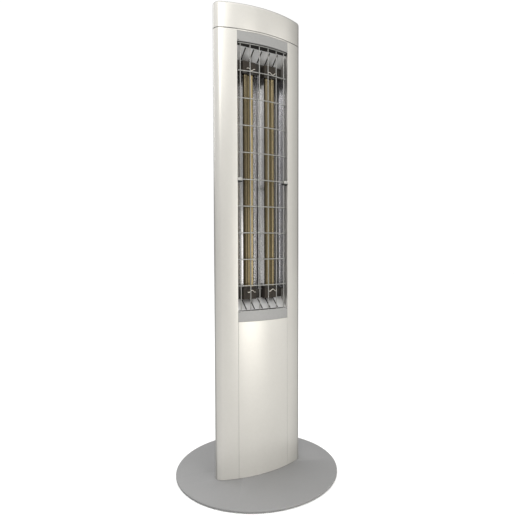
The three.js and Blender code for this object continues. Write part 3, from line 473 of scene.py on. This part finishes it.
def make_material(
    name,
    colours,
    roughness,
    metallic=0.0,
    mottle=(12.0, 1.0),
    grain=(900.0, (1, 1, 1)),
    bump=0.02,
    dust=0.0,
    wear_and_sheen=None,
    wear_and_sheen_amount=0.5,
    flop_and_edge_shade=None,
    **plain,
):
    """A finish with mottled colour, grained roughness and bump, settled dust, and tinted edges: wear, and a
    painted rim highlight on the base plate.
    colours are its two shades, roughness its lowest and highest value, flop_and_edge_shade the share of its
    colour that is left where it is seen edge-on, a darkening that is partly the paint's flop and partly
    painted shade, and plain the uniform inputs."""
    material = bpy.data.materials.new(name)
    material.use_nodes = True
    tree = material.node_tree
    shader = tree.nodes["Principled BSDF"]
    shader.inputs["Metallic"].default_value = metallic
    for key, value in plain.items():
        shader.inputs[key.replace("_", " ")].default_value = value
    where = add(tree, "ShaderNodeTexCoord").outputs["Object"]
    clouds = placed(tree, "mottle", {"Vector": where}, Size=mottle[0], Contrast=mottle[1])
    lines = placed(tree, "grain", {"Vector": where}, Size=grain[0], Stretch=grain[1])
    colour = blended(tree, clouds.outputs[0], *colours)
    rough = spread(tree, lines.outputs[0], *roughness)
    if dust:
        settled = placed(tree, "dust", {"Vector": where}, Amount=dust)
        colour = blended(tree, settled.outputs[0], colour, DUST_COLOUR)
        dusty = {0: rough, 1: settled.outputs[0]}
        rough = add(tree, "ShaderNodeMath", dusty, operation="ADD", use_clamp=True).outputs[0]
    # Edge colour: wear, and on the base plate a painted rim highlight.
    if wear_and_sheen:
        edges = placed(tree, "edges", {"Vector": where}, Amount=wear_and_sheen_amount)
        colour = blended(tree, edges.outputs[0], colour, wear_and_sheen)
    # Darkening where seen edge-on: the paint's flop, and painted shade.
    if flop_and_edge_shade:
        facing = add(tree, "ShaderNodeLayerWeight", Blend=0.5).outputs["Facing"]
        turned = add(tree, "ShaderNodeMapRange", {"Value": facing}, interpolation_type="SMOOTHSTEP")
        turned.inputs["From Min"].default_value = FLOP_SHADE_FROM
        turned.inputs["From Max"].default_value = FLOP_SHADE_TO
        turned.inputs["To Min"].default_value = 1.0
        turned.inputs["To Max"].default_value = flop_and_edge_shade
        dimmed = {0: colour, "Scale": turned.outputs[0]}
        colour = add(tree, "ShaderNodeVectorMath", dimmed, operation="SCALE").outputs[0]
    tree.links.new(colour, shader.inputs["Base Color"])
    tree.links.new(rough, shader.inputs["Roughness"])
    relief = add(tree, "ShaderNodeBump", {"Height": lines.outputs[0]}, Strength=bump, Distance=GRAIN_HEIGHT)
    tree.links.new(relief.outputs[0], shader.inputs["Normal"])
    return material


LENGTHWISE = (1.0, 1.0, 0.02)  # grain drawn out along Z
CROSSWISE = (0.02, 1.0, 1.0)

pearl = make_material(
    "pearl satin paint",
    ((0.66, 0.645, 0.605), (0.63, 0.615, 0.575)),
    (0.28, 0.34),
    metallic=0.5,
    grain=(1400.0, (1, 1, 1)),
    bump=0.04,
    dust=0.06,
    wear_and_sheen=(0.74, 0.73, 0.70),
    # Darker where seen edge-on: the paint's flop, and painted shade on the column's edges.
    flop_and_edge_shade=0.5,
    Coat_Weight=0.4,
    Coat_Roughness=0.28,
)
trim_paint = make_material(
    "light grey trim paint",
    ((0.315, 0.315, 0.31), (0.29, 0.29, 0.285)),
    (0.42, 0.55),
    metallic=0.2,
    grain=(1600.0, (1, 1, 1)),
    bump=0.08,
    wear_and_sheen=(0.62, 0.62, 0.62),
)
plate_paint = make_material(
    "grey powder coat",
    ((0.236, 0.236, 0.236), (0.222, 0.222, 0.222)),
    (0.5, 0.66),
    grain=(1100.0, (1, 1, 1)),
    bump=0.25,
    dust=0.02,
    # Lighter edge colour: painted highlight on the plate's rim, with some wear.
    wear_and_sheen=(0.5, 0.5, 0.5),
)
mirror = make_material(
    "polished reflector sheet",
    ((0.80, 0.80, 0.82), (0.74, 0.74, 0.76)),
    (0.18, 0.22),
    metallic=0.95,
    mottle=(6.0, 0.8),
    grain=(90.0, LENGTHWISE),
    bump=0.0,
)
stucco = make_material(
    "embossed aluminium",
    ((0.78, 0.78, 0.78), (0.70, 0.70, 0.70)),
    (0.30, 0.40),
    metallic=0.6,
    grain=(320.0, (1, 1, 1)),
    bump=0.25,
    wear_and_sheen=(0.92, 0.92, 0.92),
)
bright_wire = make_material(
    "nickel-plated wire",
    ((0.38, 0.38, 0.365), (0.31, 0.31, 0.30)),
    (0.34, 0.46),
    metallic=1.0,
    grain=(700.0, (1, 1, 1)),
    bump=0.08,
)
plain_steel = make_material(
    "zinc-plated steel",
    ((0.62, 0.62, 0.61), (0.52, 0.52, 0.50)),
    (0.28, 0.45),
    metallic=1.0,
    mottle=(60.0, 1.6),
    grain=(400.0, CROSSWISE),
    bump=0.08,
)
# Near black, for the brackets and clips at the dark ends of the lamp bay.
dark_steel = make_material(
    "near-black steel",
    ((0.055, 0.05, 0.045), (0.03, 0.028, 0.025)),
    (0.45, 0.65),
    metallic=0.7,
    mottle=(40.0, 1.6),
    bump=0.1,
)
gold = make_material(
    "gold-coated quartz",
    ((0.38, 0.305, 0.165), (0.31, 0.245, 0.125)),
    (0.22, 0.28),
    metallic=0.8,
    mottle=(14.0, 1.2),
    grain=(120.0, LENGTHWISE),
    bump=0.0,
    # Darker where seen edge-on: painted shade on the lamp glass.
    flop_and_edge_shade=0.35,
    Coat_Weight=0.3,
    Coat_Roughness=0.16,
)


SHADED_BORE = 0.36  # share of the colour left on the darker bore: painted shade


def shade_one_bore(material):
    """Scales the colour by a value stored on the glass's points: painted shade, darkest on each lamp's left
    bore and, through the share per lamp, on the right lamp.
    """
    tree = material.node_tree
    shader = tree.nodes["Principled BSDF"]
    bright = shader.inputs["Base Color"].links[0].from_socket
    bore_light = add(tree, "ShaderNodeAttribute", attribute_name="bore_light")
    share = spread(tree, bore_light.outputs["Fac"], SHADED_BORE, 1.0)
    tinted = add(tree, "ShaderNodeVectorMath", {0: bright, "Scale": share}, operation="SCALE")
    tree.links.new(tinted.outputs[0], shader.inputs["Base Color"])


shade_one_bore(gold)
tungsten = make_material(
    "drawn tungsten", ((0.20, 0.18, 0.16), (0.12, 0.11, 0.10)), (0.4, 0.55), metallic=1.0
)
# Near black: painted shade, for the dark ends of the lamp bay where the sockets sit.
ceramic = make_material(
    "lamp ceramic in painted shade",
    ((0.026, 0.02, 0.014), (0.014, 0.011, 0.008)),
    (0.7, 0.9),
    mottle=(50.0, 1.5),
    bump=0.25,
    wear_and_sheen=(0.09, 0.07, 0.05),
)
black_plastic = make_material(
    "black textured plastic",
    ((0.022, 0.022, 0.023), (0.032, 0.032, 0.033)),
    (0.42, 0.58),
    grain=(1500.0, (1, 1, 1)),
    bump=0.3,
    dust=0.05,
    wear_and_sheen=(0.09, 0.09, 0.09),
)
black_rubber = make_material(
    "black rubber",
    ((0.018, 0.018, 0.019), (0.028, 0.028, 0.028)),
    (0.75, 0.9),
    bump=0.2,
    dust=0.15,
)
white_plastic = make_material(
    "white moulded plastic",
    ((0.78, 0.77, 0.73), (0.70, 0.69, 0.65)),
    (0.35, 0.5),
    bump=0.08,
    wear_and_sheen=(0.86, 0.85, 0.82),
)
red_silicone = make_material(
    "red silicone cable",
    ((0.26, 0.055, 0.04), (0.20, 0.04, 0.03)),
    (0.5, 0.65),
    bump=0.1,
)
bright_spring = make_material(
    "bright spring wire",
    ((0.88, 0.84, 0.76), (0.82, 0.78, 0.70)),
    (0.25, 0.35),
    metallic=0.8,
)
# Near black: painted shade for the sheets behind the slotted end reflectors.
slot_shade = make_material(
    "painted slot shade",
    ((0.02, 0.019, 0.018), (0.012, 0.011, 0.01)),
    (0.8, 0.95),
    bump=0.1,
)

FINISH = {
    "pearl_paint": pearl,
    "trim_grey": trim_paint,
    "plate_grey": plate_paint,
    "mirror_sheet": mirror,
    "bare_steel": plain_steel,
    "guard_steel": bright_wire,
    "dark_steel": dark_steel,
    "gold_quartz": gold,
    "tungsten": tungsten,
    "ceramic": ceramic,
    "black_plastic": black_plastic,
    "black_rubber": black_rubber,
    "white_plastic": white_plastic,
    "red_cable": red_silicone,
}
for node, shown in frame["nodes"].items():
    shown.data.materials.clear()
    shown.data.materials.append(FINISH[slot_of[node]])


# ---- The column's shell ----
def make_profiles():
    """Each side profile is a hollow tube: outer ring up, over the rim, inner ring down, closed on itself."""
    low, high = (corner.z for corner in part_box("left_side_profile"))
    outer, inner = chamber(), chamber(PROFILE_WALL)
    sides = {
        "left_side_profile": (mirrored(outer), mirrored(inner)),
        "right_side_profile": (outer, inner),
    }
    for name, (outer, inner) in sides.items():
        rings = [ring_at(outer, low), ring_at(outer, high), ring_at(inner, high), ring_at(inner, low)]
        surface = loft(rings, wrap_rows=True)
        piece(name + "_skin", surface, pearl, edge=0.6 * MM, stands_for=(name,))


def cover_outline():
    """A front cover's section: outer arc, a leg back at each side, and the inner arc between them."""
    inner = COVER_HALF - COVER_WALL
    leg_end = face_y(FRONT, COVER_HALF) + COVER_LEG
    legs = np.array([[COVER_HALF, leg_end], [inner, leg_end]])
    return np.concatenate(
        [
            face_arc(FRONT, -COVER_HALF, COVER_HALF, 0, 64),
            legs,
            face_arc(FRONT, inner, -inner, COVER_WALL, 64),
            legs[::-1] * [-1, 1],
        ]
    )


LIP_INSET = 0.05 * MM  # keeps the lip's faces off the trim's own


def make_covers():
    """The lower front cover and the two trims, which have the same section. Each trim has an inward lip."""
    for node, finish in (
        ("lower_front_cover", pearl),
        ("top_trim", trim_paint),
        ("bottom_trim", trim_paint),
    ):
        low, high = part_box(node)
        surface = prism(cover_outline(), low.z, high.z)
        if node != "lower_front_cover":
            half = COVER_HALF - COVER_WALL / 2
            lip = np.concatenate(
                [
                    face_arc(FRONT, -half, half, COVER_WALL / 2, 48),
                    face_arc(FRONT, half, -half, TRIM_LIP, 48),
                ]
            )
            lip_z = low.z if node == "top_trim" else high.z - COVER_WALL
            surface = joined(surface, prism(lip, lip_z + LIP_INSET, lip_z + COVER_WALL - LIP_INSET))
        piece(node + "_skin", surface, finish, edge=0.5 * MM, stands_for=(node,))


def make_cap():
    """The cap's outer and inner skins: each is a plan outline that rises, then closes in a quarter circle."""
    low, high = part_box("top_cap")
    angle = np.linspace(0, math.pi / 2, 12)

    def skin(inset, edge):
        rise = high.z - CAP_EDGE + edge * np.sin(angle)
        inward = inset + edge * (1 - np.cos(angle))
        return [ring_at(outline(i), z) for i, z in zip(inward, rise)]

    outer = [ring_at(outline(), low.z), *skin(0.0, CAP_EDGE)]
    inner = [*skin(CAP_WALL, CAP_EDGE - CAP_WALL)[::-1], ring_at(outline(CAP_WALL), low.z)]
    piece("top_cap_skin", loft(inner + outer), pearl, edge=0.5 * MM, stands_for=("top_cap",), angle=60)


# ---- Wire guard ----
def guard_wires():
    """Eleven bowed rows, whose ends bend back, and six upright columns behind them."""
    low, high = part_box("wire_guard")
    middle = (low.z + high.z) / 2
    row_pitch = (high.z - low.z - 2 * GUARD_OVERRUN) / (GUARD_ROWS - 1)
    row_inset = GUARD_SETBACK + WIRE_RADIUS
    edge = high.x - WIRE_RADIUS
    bow = face_arc(FRONT, -edge, edge, row_inset, 41)
    back = np.array([[edge, face_y(FRONT, edge, row_inset) + GUARD_RETURN]])
    route = np.concatenate([back * [-1, 1], bow, back])
    first, last = filleted(route[:3], GUARD_BEND), filleted(route[-3:], GUARD_BEND)
    route = np.concatenate([first[:-1], route[2:-2], last[1:]])
    rows = [
        tube(ring_at(route, middle + (i - (GUARD_ROWS - 1) / 2) * row_pitch), WIRE_RADIUS)
        for i in range(GUARD_ROWS)
    ]
    columns = []
    for i in range(GUARD_COLUMNS):
        x = (i - (GUARD_COLUMNS - 1) / 2) * GUARD_COLUMN_PITCH
        y = face_y(FRONT, x, row_inset + 2 * WIRE_RADIUS - WELD_BITE)
        line = np.array([[x, y, low.z], [x, y, high.z]])
        columns.append(tube(line, WIRE_RADIUS, axis=(1, 0, 0)))
    return joined(*rows, *columns)


make_profiles()
make_covers()
make_cap()
piece("wire_guard_wires", guard_wires(), bright_wire, edge=0.3 * MM, stands_for=("wire_guard",), angle=60)


# ---- Lamps ----
BORE_BRIDGE = 2.5 * MM  # half of the bridge's width
PINCH = {0: 0.90, 1: 0.96, 3: 0.985, 6: 0.997, 10: 1.0}  # millimetres from the end, and share of the size
BORE_LIGHT_BLEND = 6 * MM
BORE_LIGHT_SHARE = {"left": 0.8, "right": 0.35}  # below 1, the brighter bore is darkened too: painted shade, most on the right lamp


def twin_tube_outline(count=24):
    """Two circles joined by a thin bridge."""
    low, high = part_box("left_lamp_tube")
    radius = (high.y - low.y) / 2
    offset = (high.x - low.x) / 2 - radius
    bridge = math.asin(BORE_BRIDGE / radius)
    right = circle_arc((offset, 0), radius, bridge - math.pi, math.pi - bridge, count)
    return np.concatenate([right, -right])


def make_lamps():
    """Each lamp's glass is the twin-tube section carried up, drawn in at its ends as a pinched seal."""
    section = twin_tube_outline()
    for side in ("left", "right"):
        node = side + "_lamp_tube"
        low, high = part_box(node)
        centre = np.array([(low.x + high.x) / 2, (low.y + high.y) / 2])
        rise, shrink = [r * MM for r in PINCH], list(PINCH.values())
        levels = [low.z + r for r in rise] + [high.z - r for r in rise[::-1]]
        sizes = shrink + shrink[::-1]
        rings = [ring_at(centre + section * s, z) for s, z in zip(sizes, levels)]
        points, faces = loft(rings)
        glass = piece(node + "_glass", (points, faces), gold, stands_for=(node,), angle=50)
        # Painted shade: the left bore darker than the right, and the right lamp darker than the left.
        share = 0.5 + (points[:, 0] - centre[0]) / BORE_LIGHT_BLEND
        share = np.clip(share, 0, 1) * BORE_LIGHT_SHARE[side]
        bore_light = glass.data.attributes.new("bore_light", "FLOAT", "POINT")
        bore_light.data.foreach_set("value", share.astype(np.float32))


make_lamps()


# ---- Reflectors ----
RIDGE_GAP = 2.2 * MM
RIDGE_Y = -5 * MM
TROUGH_INNER = 16 * MM
TROUGH_OUTER = 64 * MM
SHEET_BEND = 5 * MM


def make_reflectors():
    """Each trough is a sheet folded along rounded lines: ridge, slope, floor, slope, side wall."""
    low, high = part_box("right_reflector")
    side = high.x - SHEET
    corners = [
        [low.x + RIDGE_GAP, RIDGE_Y],
        [TROUGH_INNER, high.y - SHEET],
        [TROUGH_OUTER, high.y - SHEET],
        [side, 0],
        [side, low.y],
    ]
    line = filleted(corners, SHEET_BEND)[::-1]
    section = band(line, -SHEET)[::-1]
    for node, points in (("right_reflector", section), ("left_reflector", mirrored(section))):
        surface = prism(points, low.z, high.z)
        piece(node + "_sheet", surface, mirror, edge=0.2 * MM, stands_for=(node,))


make_reflectors()

# ---- Base, back and hardware: the frame's shapes with rounded edges ----
# Each node's material, the width of its edges in millimetres, and its body.
REFINED = {
    "top_end_reflector": (stucco, 0.25, "column"),
    "bottom_end_reflector": (stucco, 0.25, "column"),
    "upper_lamp_bracket": (dark_steel, 0.2, "column"),
    "lower_lamp_bracket": (dark_steel, 0.2, "column"),
    "left_guard_clip": (bright_wire, 0.2, "column"),
    "right_guard_clip": (bright_wire, 0.2, "column"),
    "base_plate": (plate_paint, 0.5, "column"),
    "foot_bracket": (dark_steel, 0.6, "column"),
    "top_closing_plate": (pearl, 0.2, "column"),
    "switch_housing": (black_plastic, 0.6, "column"),
    "left_rocker": (black_plastic, 0.5, "left_rocker"),
    "right_rocker": (black_plastic, 0.5, "right_rocker"),
    "cable_gland": (black_plastic, 0.5, "column"),
    "gland_membrane": (black_rubber, 0.4, "column"),
    "tip_switch_body": (black_plastic, 0.5, "column"),
    "tip_switch_pin": (white_plastic, 0.3, "tip_pin"),
    "terminal_block": (white_plastic, 0.4, "column"),
    "wiring_board": (plain_steel, 0.2, "column"),
    "heat_shield": (plain_steel, 0.2, "column"),
    "thermal_cutout": (black_plastic, 0.4, "column"),
}
for side in ("left", "right"):
    for end in ("upper", "lower"):
        REFINED[f"{side}_lamp_{end}_socket"] = (ceramic, 0.8, "column")
        REFINED[f"{side}_lamp_{end}_clip"] = (dark_steel, 0.2, "column")
for i in range(1, 5):
    REFINED[f"foot_pad_{i}"] = (black_rubber, 0.4, "column")
    REFINED[f"base_bolt_{i}"] = (plain_steel, 0.2, "column")
    REFINED[f"rear_screw_{i}"] = (plain_steel, 0.25, "column")
for node, (material, edge, body) in REFINED.items():
    refined(node, material, edge * MM, body)

ARC_ALIGNED = 0.99  # cosine above which a face counts as part of the back's arc


def make_rear_cover():
    """The rear cover with its holes: its curved faces take the normals of the arc that they follow."""
    made = refined("rear_cover", pearl, 0.0)
    mesh = made.data
    places = np.empty((len(mesh.vertices), 3), np.float32)
    mesh.vertices.foreach_get("co", places.ravel())
    corner = np.empty(len(mesh.loops), np.int32)
    mesh.loops.foreach_get("vertex_index", corner)
    facing = np.empty((len(mesh.polygons), 3), np.float32)
    mesh.polygons.foreach_get("normal", facing.ravel())
    sides = np.empty(len(mesh.polygons), np.int32)
    mesh.polygons.foreach_get("loop_total", sides)
    facing = np.repeat(facing, sides, axis=0)
    arc_centre = (0.0, WIDEST_Y + BULGE[BACK] - face_radius(BACK), 0.0)
    radial = (places[corner] - arc_centre) * (1, 1, 0)
    radial /= np.linalg.norm(radial, axis=1, keepdims=True)
    along = np.sum(radial * facing, axis=1, keepdims=True)
    normals = np.where(np.abs(along) > ARC_ALIGNED, radial * np.sign(along), facing)
    mesh.normals_split_custom_set(normals.tolist())


make_rear_cover()


# ---- Small parts of the lamp bay ----
SPRING_WIRE = 0.9 * MM
SPRING_LENGTH = 26 * MM
SPRING_START = 0.35  # share of its length that lies left of the lamp's middle
SPRING_BOW = 2.5 * MM
SPRING_STANDOFF = 2 * MM
SPRING_WAVE = 3.2 * MM
SPRING_INSET = 6 * MM
SPRING_TURNS = 1.25
SPRING_PHASE = 0.6


def make_springs():
    """A wavy wire in front of each lamp's ends: a sine along X that bows forwards as a half sine."""
    for side in ("left", "right"):
        glass_low, glass_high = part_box(side + "_lamp_tube")
        centre = (glass_low.x + glass_high.x) / 2
        front = glass_low.y - SPRING_WIRE
        for end in ("upper", "lower"):
            low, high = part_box(f"{side}_lamp_{end}_socket")
            face = low.z if end == "upper" else high.z
            inward = 1 if end == "upper" else -1
            t = np.linspace(0, 1, 60)
            x = centre + (t - SPRING_START) * SPRING_LENGTH
            y = low.y - SPRING_STANDOFF - SPRING_BOW * np.sin(math.pi * t) - SPRING_WIRE
            wave = np.sin(SPRING_TURNS * 2 * math.pi * t + SPRING_PHASE)
            z = face + inward * (SPRING_INSET + SPRING_WAVE * wave)
            path = np.column_stack([x, np.minimum(y, front), z])
            spring = tube(path, SPRING_WIRE, sides=10, axis=(0, 1, 0))
            piece(f"{side}_{end}_lamp_spring", spring, bright_spring, angle=60)


SHADE_STRIP_WIDTH = 0.8 * MM
SHADE_STRIP_DEPTH = 1.1 * MM
SHADE_STRIP_GAP = 0.3 * MM


def make_shade_strips():
    """Painted shade: a thin black strip down each side of the window, between the reflector's front edge and
    the profile, standing for the shade in that gap.
    """
    low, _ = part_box("right_reflector")
    bottom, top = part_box("bottom_trim")[1].z + COVER_WALL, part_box("top_trim")[0].z - COVER_WALL
    outer = CHANNEL_HALF - SHADE_STRIP_GAP
    inner = outer - SHADE_STRIP_WIDTH
    back = low.y - SHADE_STRIP_GAP
    front = back - SHADE_STRIP_DEPTH
    corners = np.array([[inner, front], [outer, front], [outer, back], [inner, back]])
    for side, points in (("right", corners), ("left", mirrored(corners))):
        # Black strip in the rubber finish: painted shade in the gap beside the window.
        piece(side + "_window_shade_strip", prism(points, bottom, top), black_rubber, edge=0.2 * MM)


CLIP_SHADE_HEIGHT = 4 * MM
CLIP_SHADE_GAP = 0.3 * MM


def make_clip_shade_blocks():
    """Painted shade: a block in the black rubber finish under each hook of the wire guard, standing for the
    shade below the clip.
    """
    for node in ("left_guard_clip", "right_guard_clip"):
        low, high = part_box(node)
        top = low.z - CLIP_SHADE_GAP
        corners = np.array([[low.x, low.y], [high.x, low.y], [high.x, high.y], [low.x, high.y]])
        surface = prism(corners, top - CLIP_SHADE_HEIGHT, top)
        # Black block: painted shade under the clip.
        piece(node.replace("clip", "shade_block"), surface, black_rubber, edge=0.5 * MM)


make_springs()
make_shade_strips()
make_clip_shade_blocks()

# ---- Painted shade at the lamp bay's two ends: a dark sheet behind each slotted reflector ----
SHADE_SHEET_THICKNESS = 0.5 * MM
SHADE_SHEET_BEHIND = 3 * MM  # how far it lies behind the reflector
SHADE_SHEET_FRONT_Y = -46 * MM
SHADE_SHEET_BEND_Y = -3 * MM  # where the reflector's slope ends
SHADE_SHEET_LIFT = 1.5 * MM  # over the trim's lip
SHADE_SHEET_SIDE_GAP = 1.2 * MM


def make_slot_shade_sheets():
    """Painted shade: a near-black sheet behind each slotted end reflector, parallel to its slope and carried
    on to the trim, so that the slots and the gap under the trim look shaded.
    """
    for end, up in (("top", 1), ("bottom", -1)):
        node, trim = end + "_end_reflector", end + "_trim"
        low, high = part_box(node)
        front_z, back_z = (high.z, low.z) if up > 0 else (low.z, high.z)
        trim_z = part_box(trim)[0].z + COVER_WALL if up > 0 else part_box(trim)[1].z - COVER_WALL
        line = np.array([
            [SHADE_SHEET_FRONT_Y, trim_z + up * SHADE_SHEET_LIFT],
            [low.y, front_z + up * SHADE_SHEET_BEHIND],
            [SHADE_SHEET_BEND_Y, back_z + up * SHADE_SHEET_BEHIND],
            [high.y, back_z + up * SHADE_SHEET_BEHIND],
        ])
        half = CHANNEL_HALF - SHADE_SHEET_SIDE_GAP
        piece(node + "_shade_sheet", beam(band(line, up * SHADE_SHEET_THICKNESS), -half, half), slot_shade)


make_slot_shade_sheets()

# ---- Floor, light and camera ----
FLOOR_REACH = 9.0
FLOOR_SEEN = 0.97  # the floor's own tone
FLOOR_BOUNCE = 0.42  # its tone for the light that it passes on to the heater


def make_floor():
    """A large flat square, whose material is darker for light that bounces off it than where it is seen."""
    material = make_material("pale floor", ((0.9, 0.9, 0.9), (0.9, 0.9, 0.9)), (0.6, 0.7), bump=0.0)
    tree = material.node_tree
    path = add(tree, "ShaderNodeLightPath")
    tone = [(FLOOR_BOUNCE,) * 3, (FLOOR_SEEN,) * 3]
    colour = blended(tree, path.outputs["Is Camera Ray"], *tone)
    tree.links.new(colour, tree.nodes["Principled BSDF"].inputs["Base Color"])
    mesh = bpy.data.meshes.new("floor")
    corners = [(x * FLOOR_REACH, y * FLOOR_REACH, 0) for x, y in ((-1, -1), (1, -1), (1, 1), (-1, 1))]
    mesh.from_pydata(corners, [], [(0, 1, 2, 3)])
    mesh.materials.append(material)
    floor = bpy.data.objects.new("floor", mesh)
    frame_scene.collection.objects.link(floor)


def area_light(name, place, target, size, power, colour):
    """A soft rectangular light that faces its target."""
    light = bpy.data.lights.new(name, "AREA")
    light.shape = "RECTANGLE"
    light.size, light.size_y = size
    light.energy = power
    light.color = colour
    lamp = bpy.data.objects.new(name, light)
    lamp.location = place
    aim = Vector(target) - Vector(place)
    lamp.rotation_euler = aim.to_track_quat("-Z", "Y").to_euler()
    frame_scene.collection.objects.link(lamp)


SKY_HORIZON = 0.22
SKY_ZENITH = 1.38  # added to the horizon's brightness straight overhead
SKY_LEFT = 0.55  # share by which the left is brighter, and the right darker
SKY_DARKEST = 0.06
SKY_SEEN = 1.02


def make_sky():
    """A studio: white where it is looked at, and otherwise brighter overhead and on the left."""
    world = bpy.data.worlds.new("studio")
    frame_scene.world = world
    world.use_nodes = True
    tree = world.node_tree
    direction = add(tree, "ShaderNodeTexCoord").outputs["Generated"]
    parts = add(tree, "ShaderNodeSeparateXYZ", {0: direction})
    height = add(tree, "ShaderNodeMath", {0: parts.outputs["Z"]}, operation="MULTIPLY_ADD")
    height.inputs[1].default_value = SKY_ZENITH
    height.inputs[2].default_value = SKY_HORIZON
    side = add(tree, "ShaderNodeMath", {0: parts.outputs["X"]}, operation="MULTIPLY_ADD")
    side.inputs[1].default_value = -SKY_LEFT
    side.inputs[2].default_value = 1.0
    tilted = add(tree, "ShaderNodeMath", {0: side.outputs[0], 1: height.outputs[0]}, operation="MULTIPLY")
    lowest = add(tree, "ShaderNodeMath", {0: tilted.outputs[0]}, operation="MAXIMUM")
    lowest.inputs[1].default_value = SKY_DARKEST
    path = add(tree, "ShaderNodeLightPath")
    seen = {"Value": path.outputs["Is Camera Ray"], "To Min": lowest.outputs[0]}
    strength = add(tree, "ShaderNodeMapRange", seen)
    strength.inputs["To Max"].default_value = SKY_SEEN
    background = tree.nodes["Background"]
    background.inputs["Color"].default_value = (1.0, 1.0, 1.0, 1.0)
    tree.links.new(strength.outputs[0], background.inputs["Strength"])


make_floor()
make_sky()
WARM, SOFT_WARM, MILD, WHITE = (1.0, 0.975, 0.92), (1.0, 0.98, 0.94), (1.0, 0.985, 0.955), (1, 1, 1)
# Each light's place, the point it faces, its width and height in metres, its watts and its colour.
LIGHTS = {
    "strip": ((0.26, -2.2, 1.15), (0, 0, 0.8), (0.5, 1.9), 10.5, WARM),
    "low": ((0.30, -1.6, 0.45), (0, 0, 0.25), (1.0, 0.9), 4.3, WARM),
    "right": ((1.7, -1.7, 1.2), (0, 0, 0.8), (1.0, 2.0), 11, SOFT_WARM),
    "key": ((-1.5, -2.0, 2.7), (0, 0, 1.3), (1.2, 1.4), 24, MILD),
    "back": ((-1.6, 2.6, 2.2), (0, 0, 0.9), (1.2, 1.8), 18, WHITE),
}
for name, settings in LIGHTS.items():
    area_light(name, *settings)

CAMERA_PLACE = (-0.6690, -1.2836, 0.7149)
CAMERA_DOWN, CAMERA_RIGHT = 2.454, 31.25  # degrees below level, and to the right of straight along +Y
CAMERA_LENS, CAMERA_SENSOR = 32.61, 36.0  # millimetres
CAMERA_SHIFT = (-0.0575, 0.0079)

camera_data = bpy.data.cameras.new("camera")
camera_data.sensor_width = CAMERA_SENSOR
camera_data.lens = CAMERA_LENS
camera_data.shift_x, camera_data.shift_y = CAMERA_SHIFT
camera = bpy.data.objects.new("camera", camera_data)
camera.location = CAMERA_PLACE
camera.rotation_euler = (math.radians(90 - CAMERA_DOWN), 0, math.radians(-CAMERA_RIGHT))
frame_scene.collection.objects.link(camera)
frame_scene.camera = camera
frame_scene.view_settings.view_transform = "Standard"
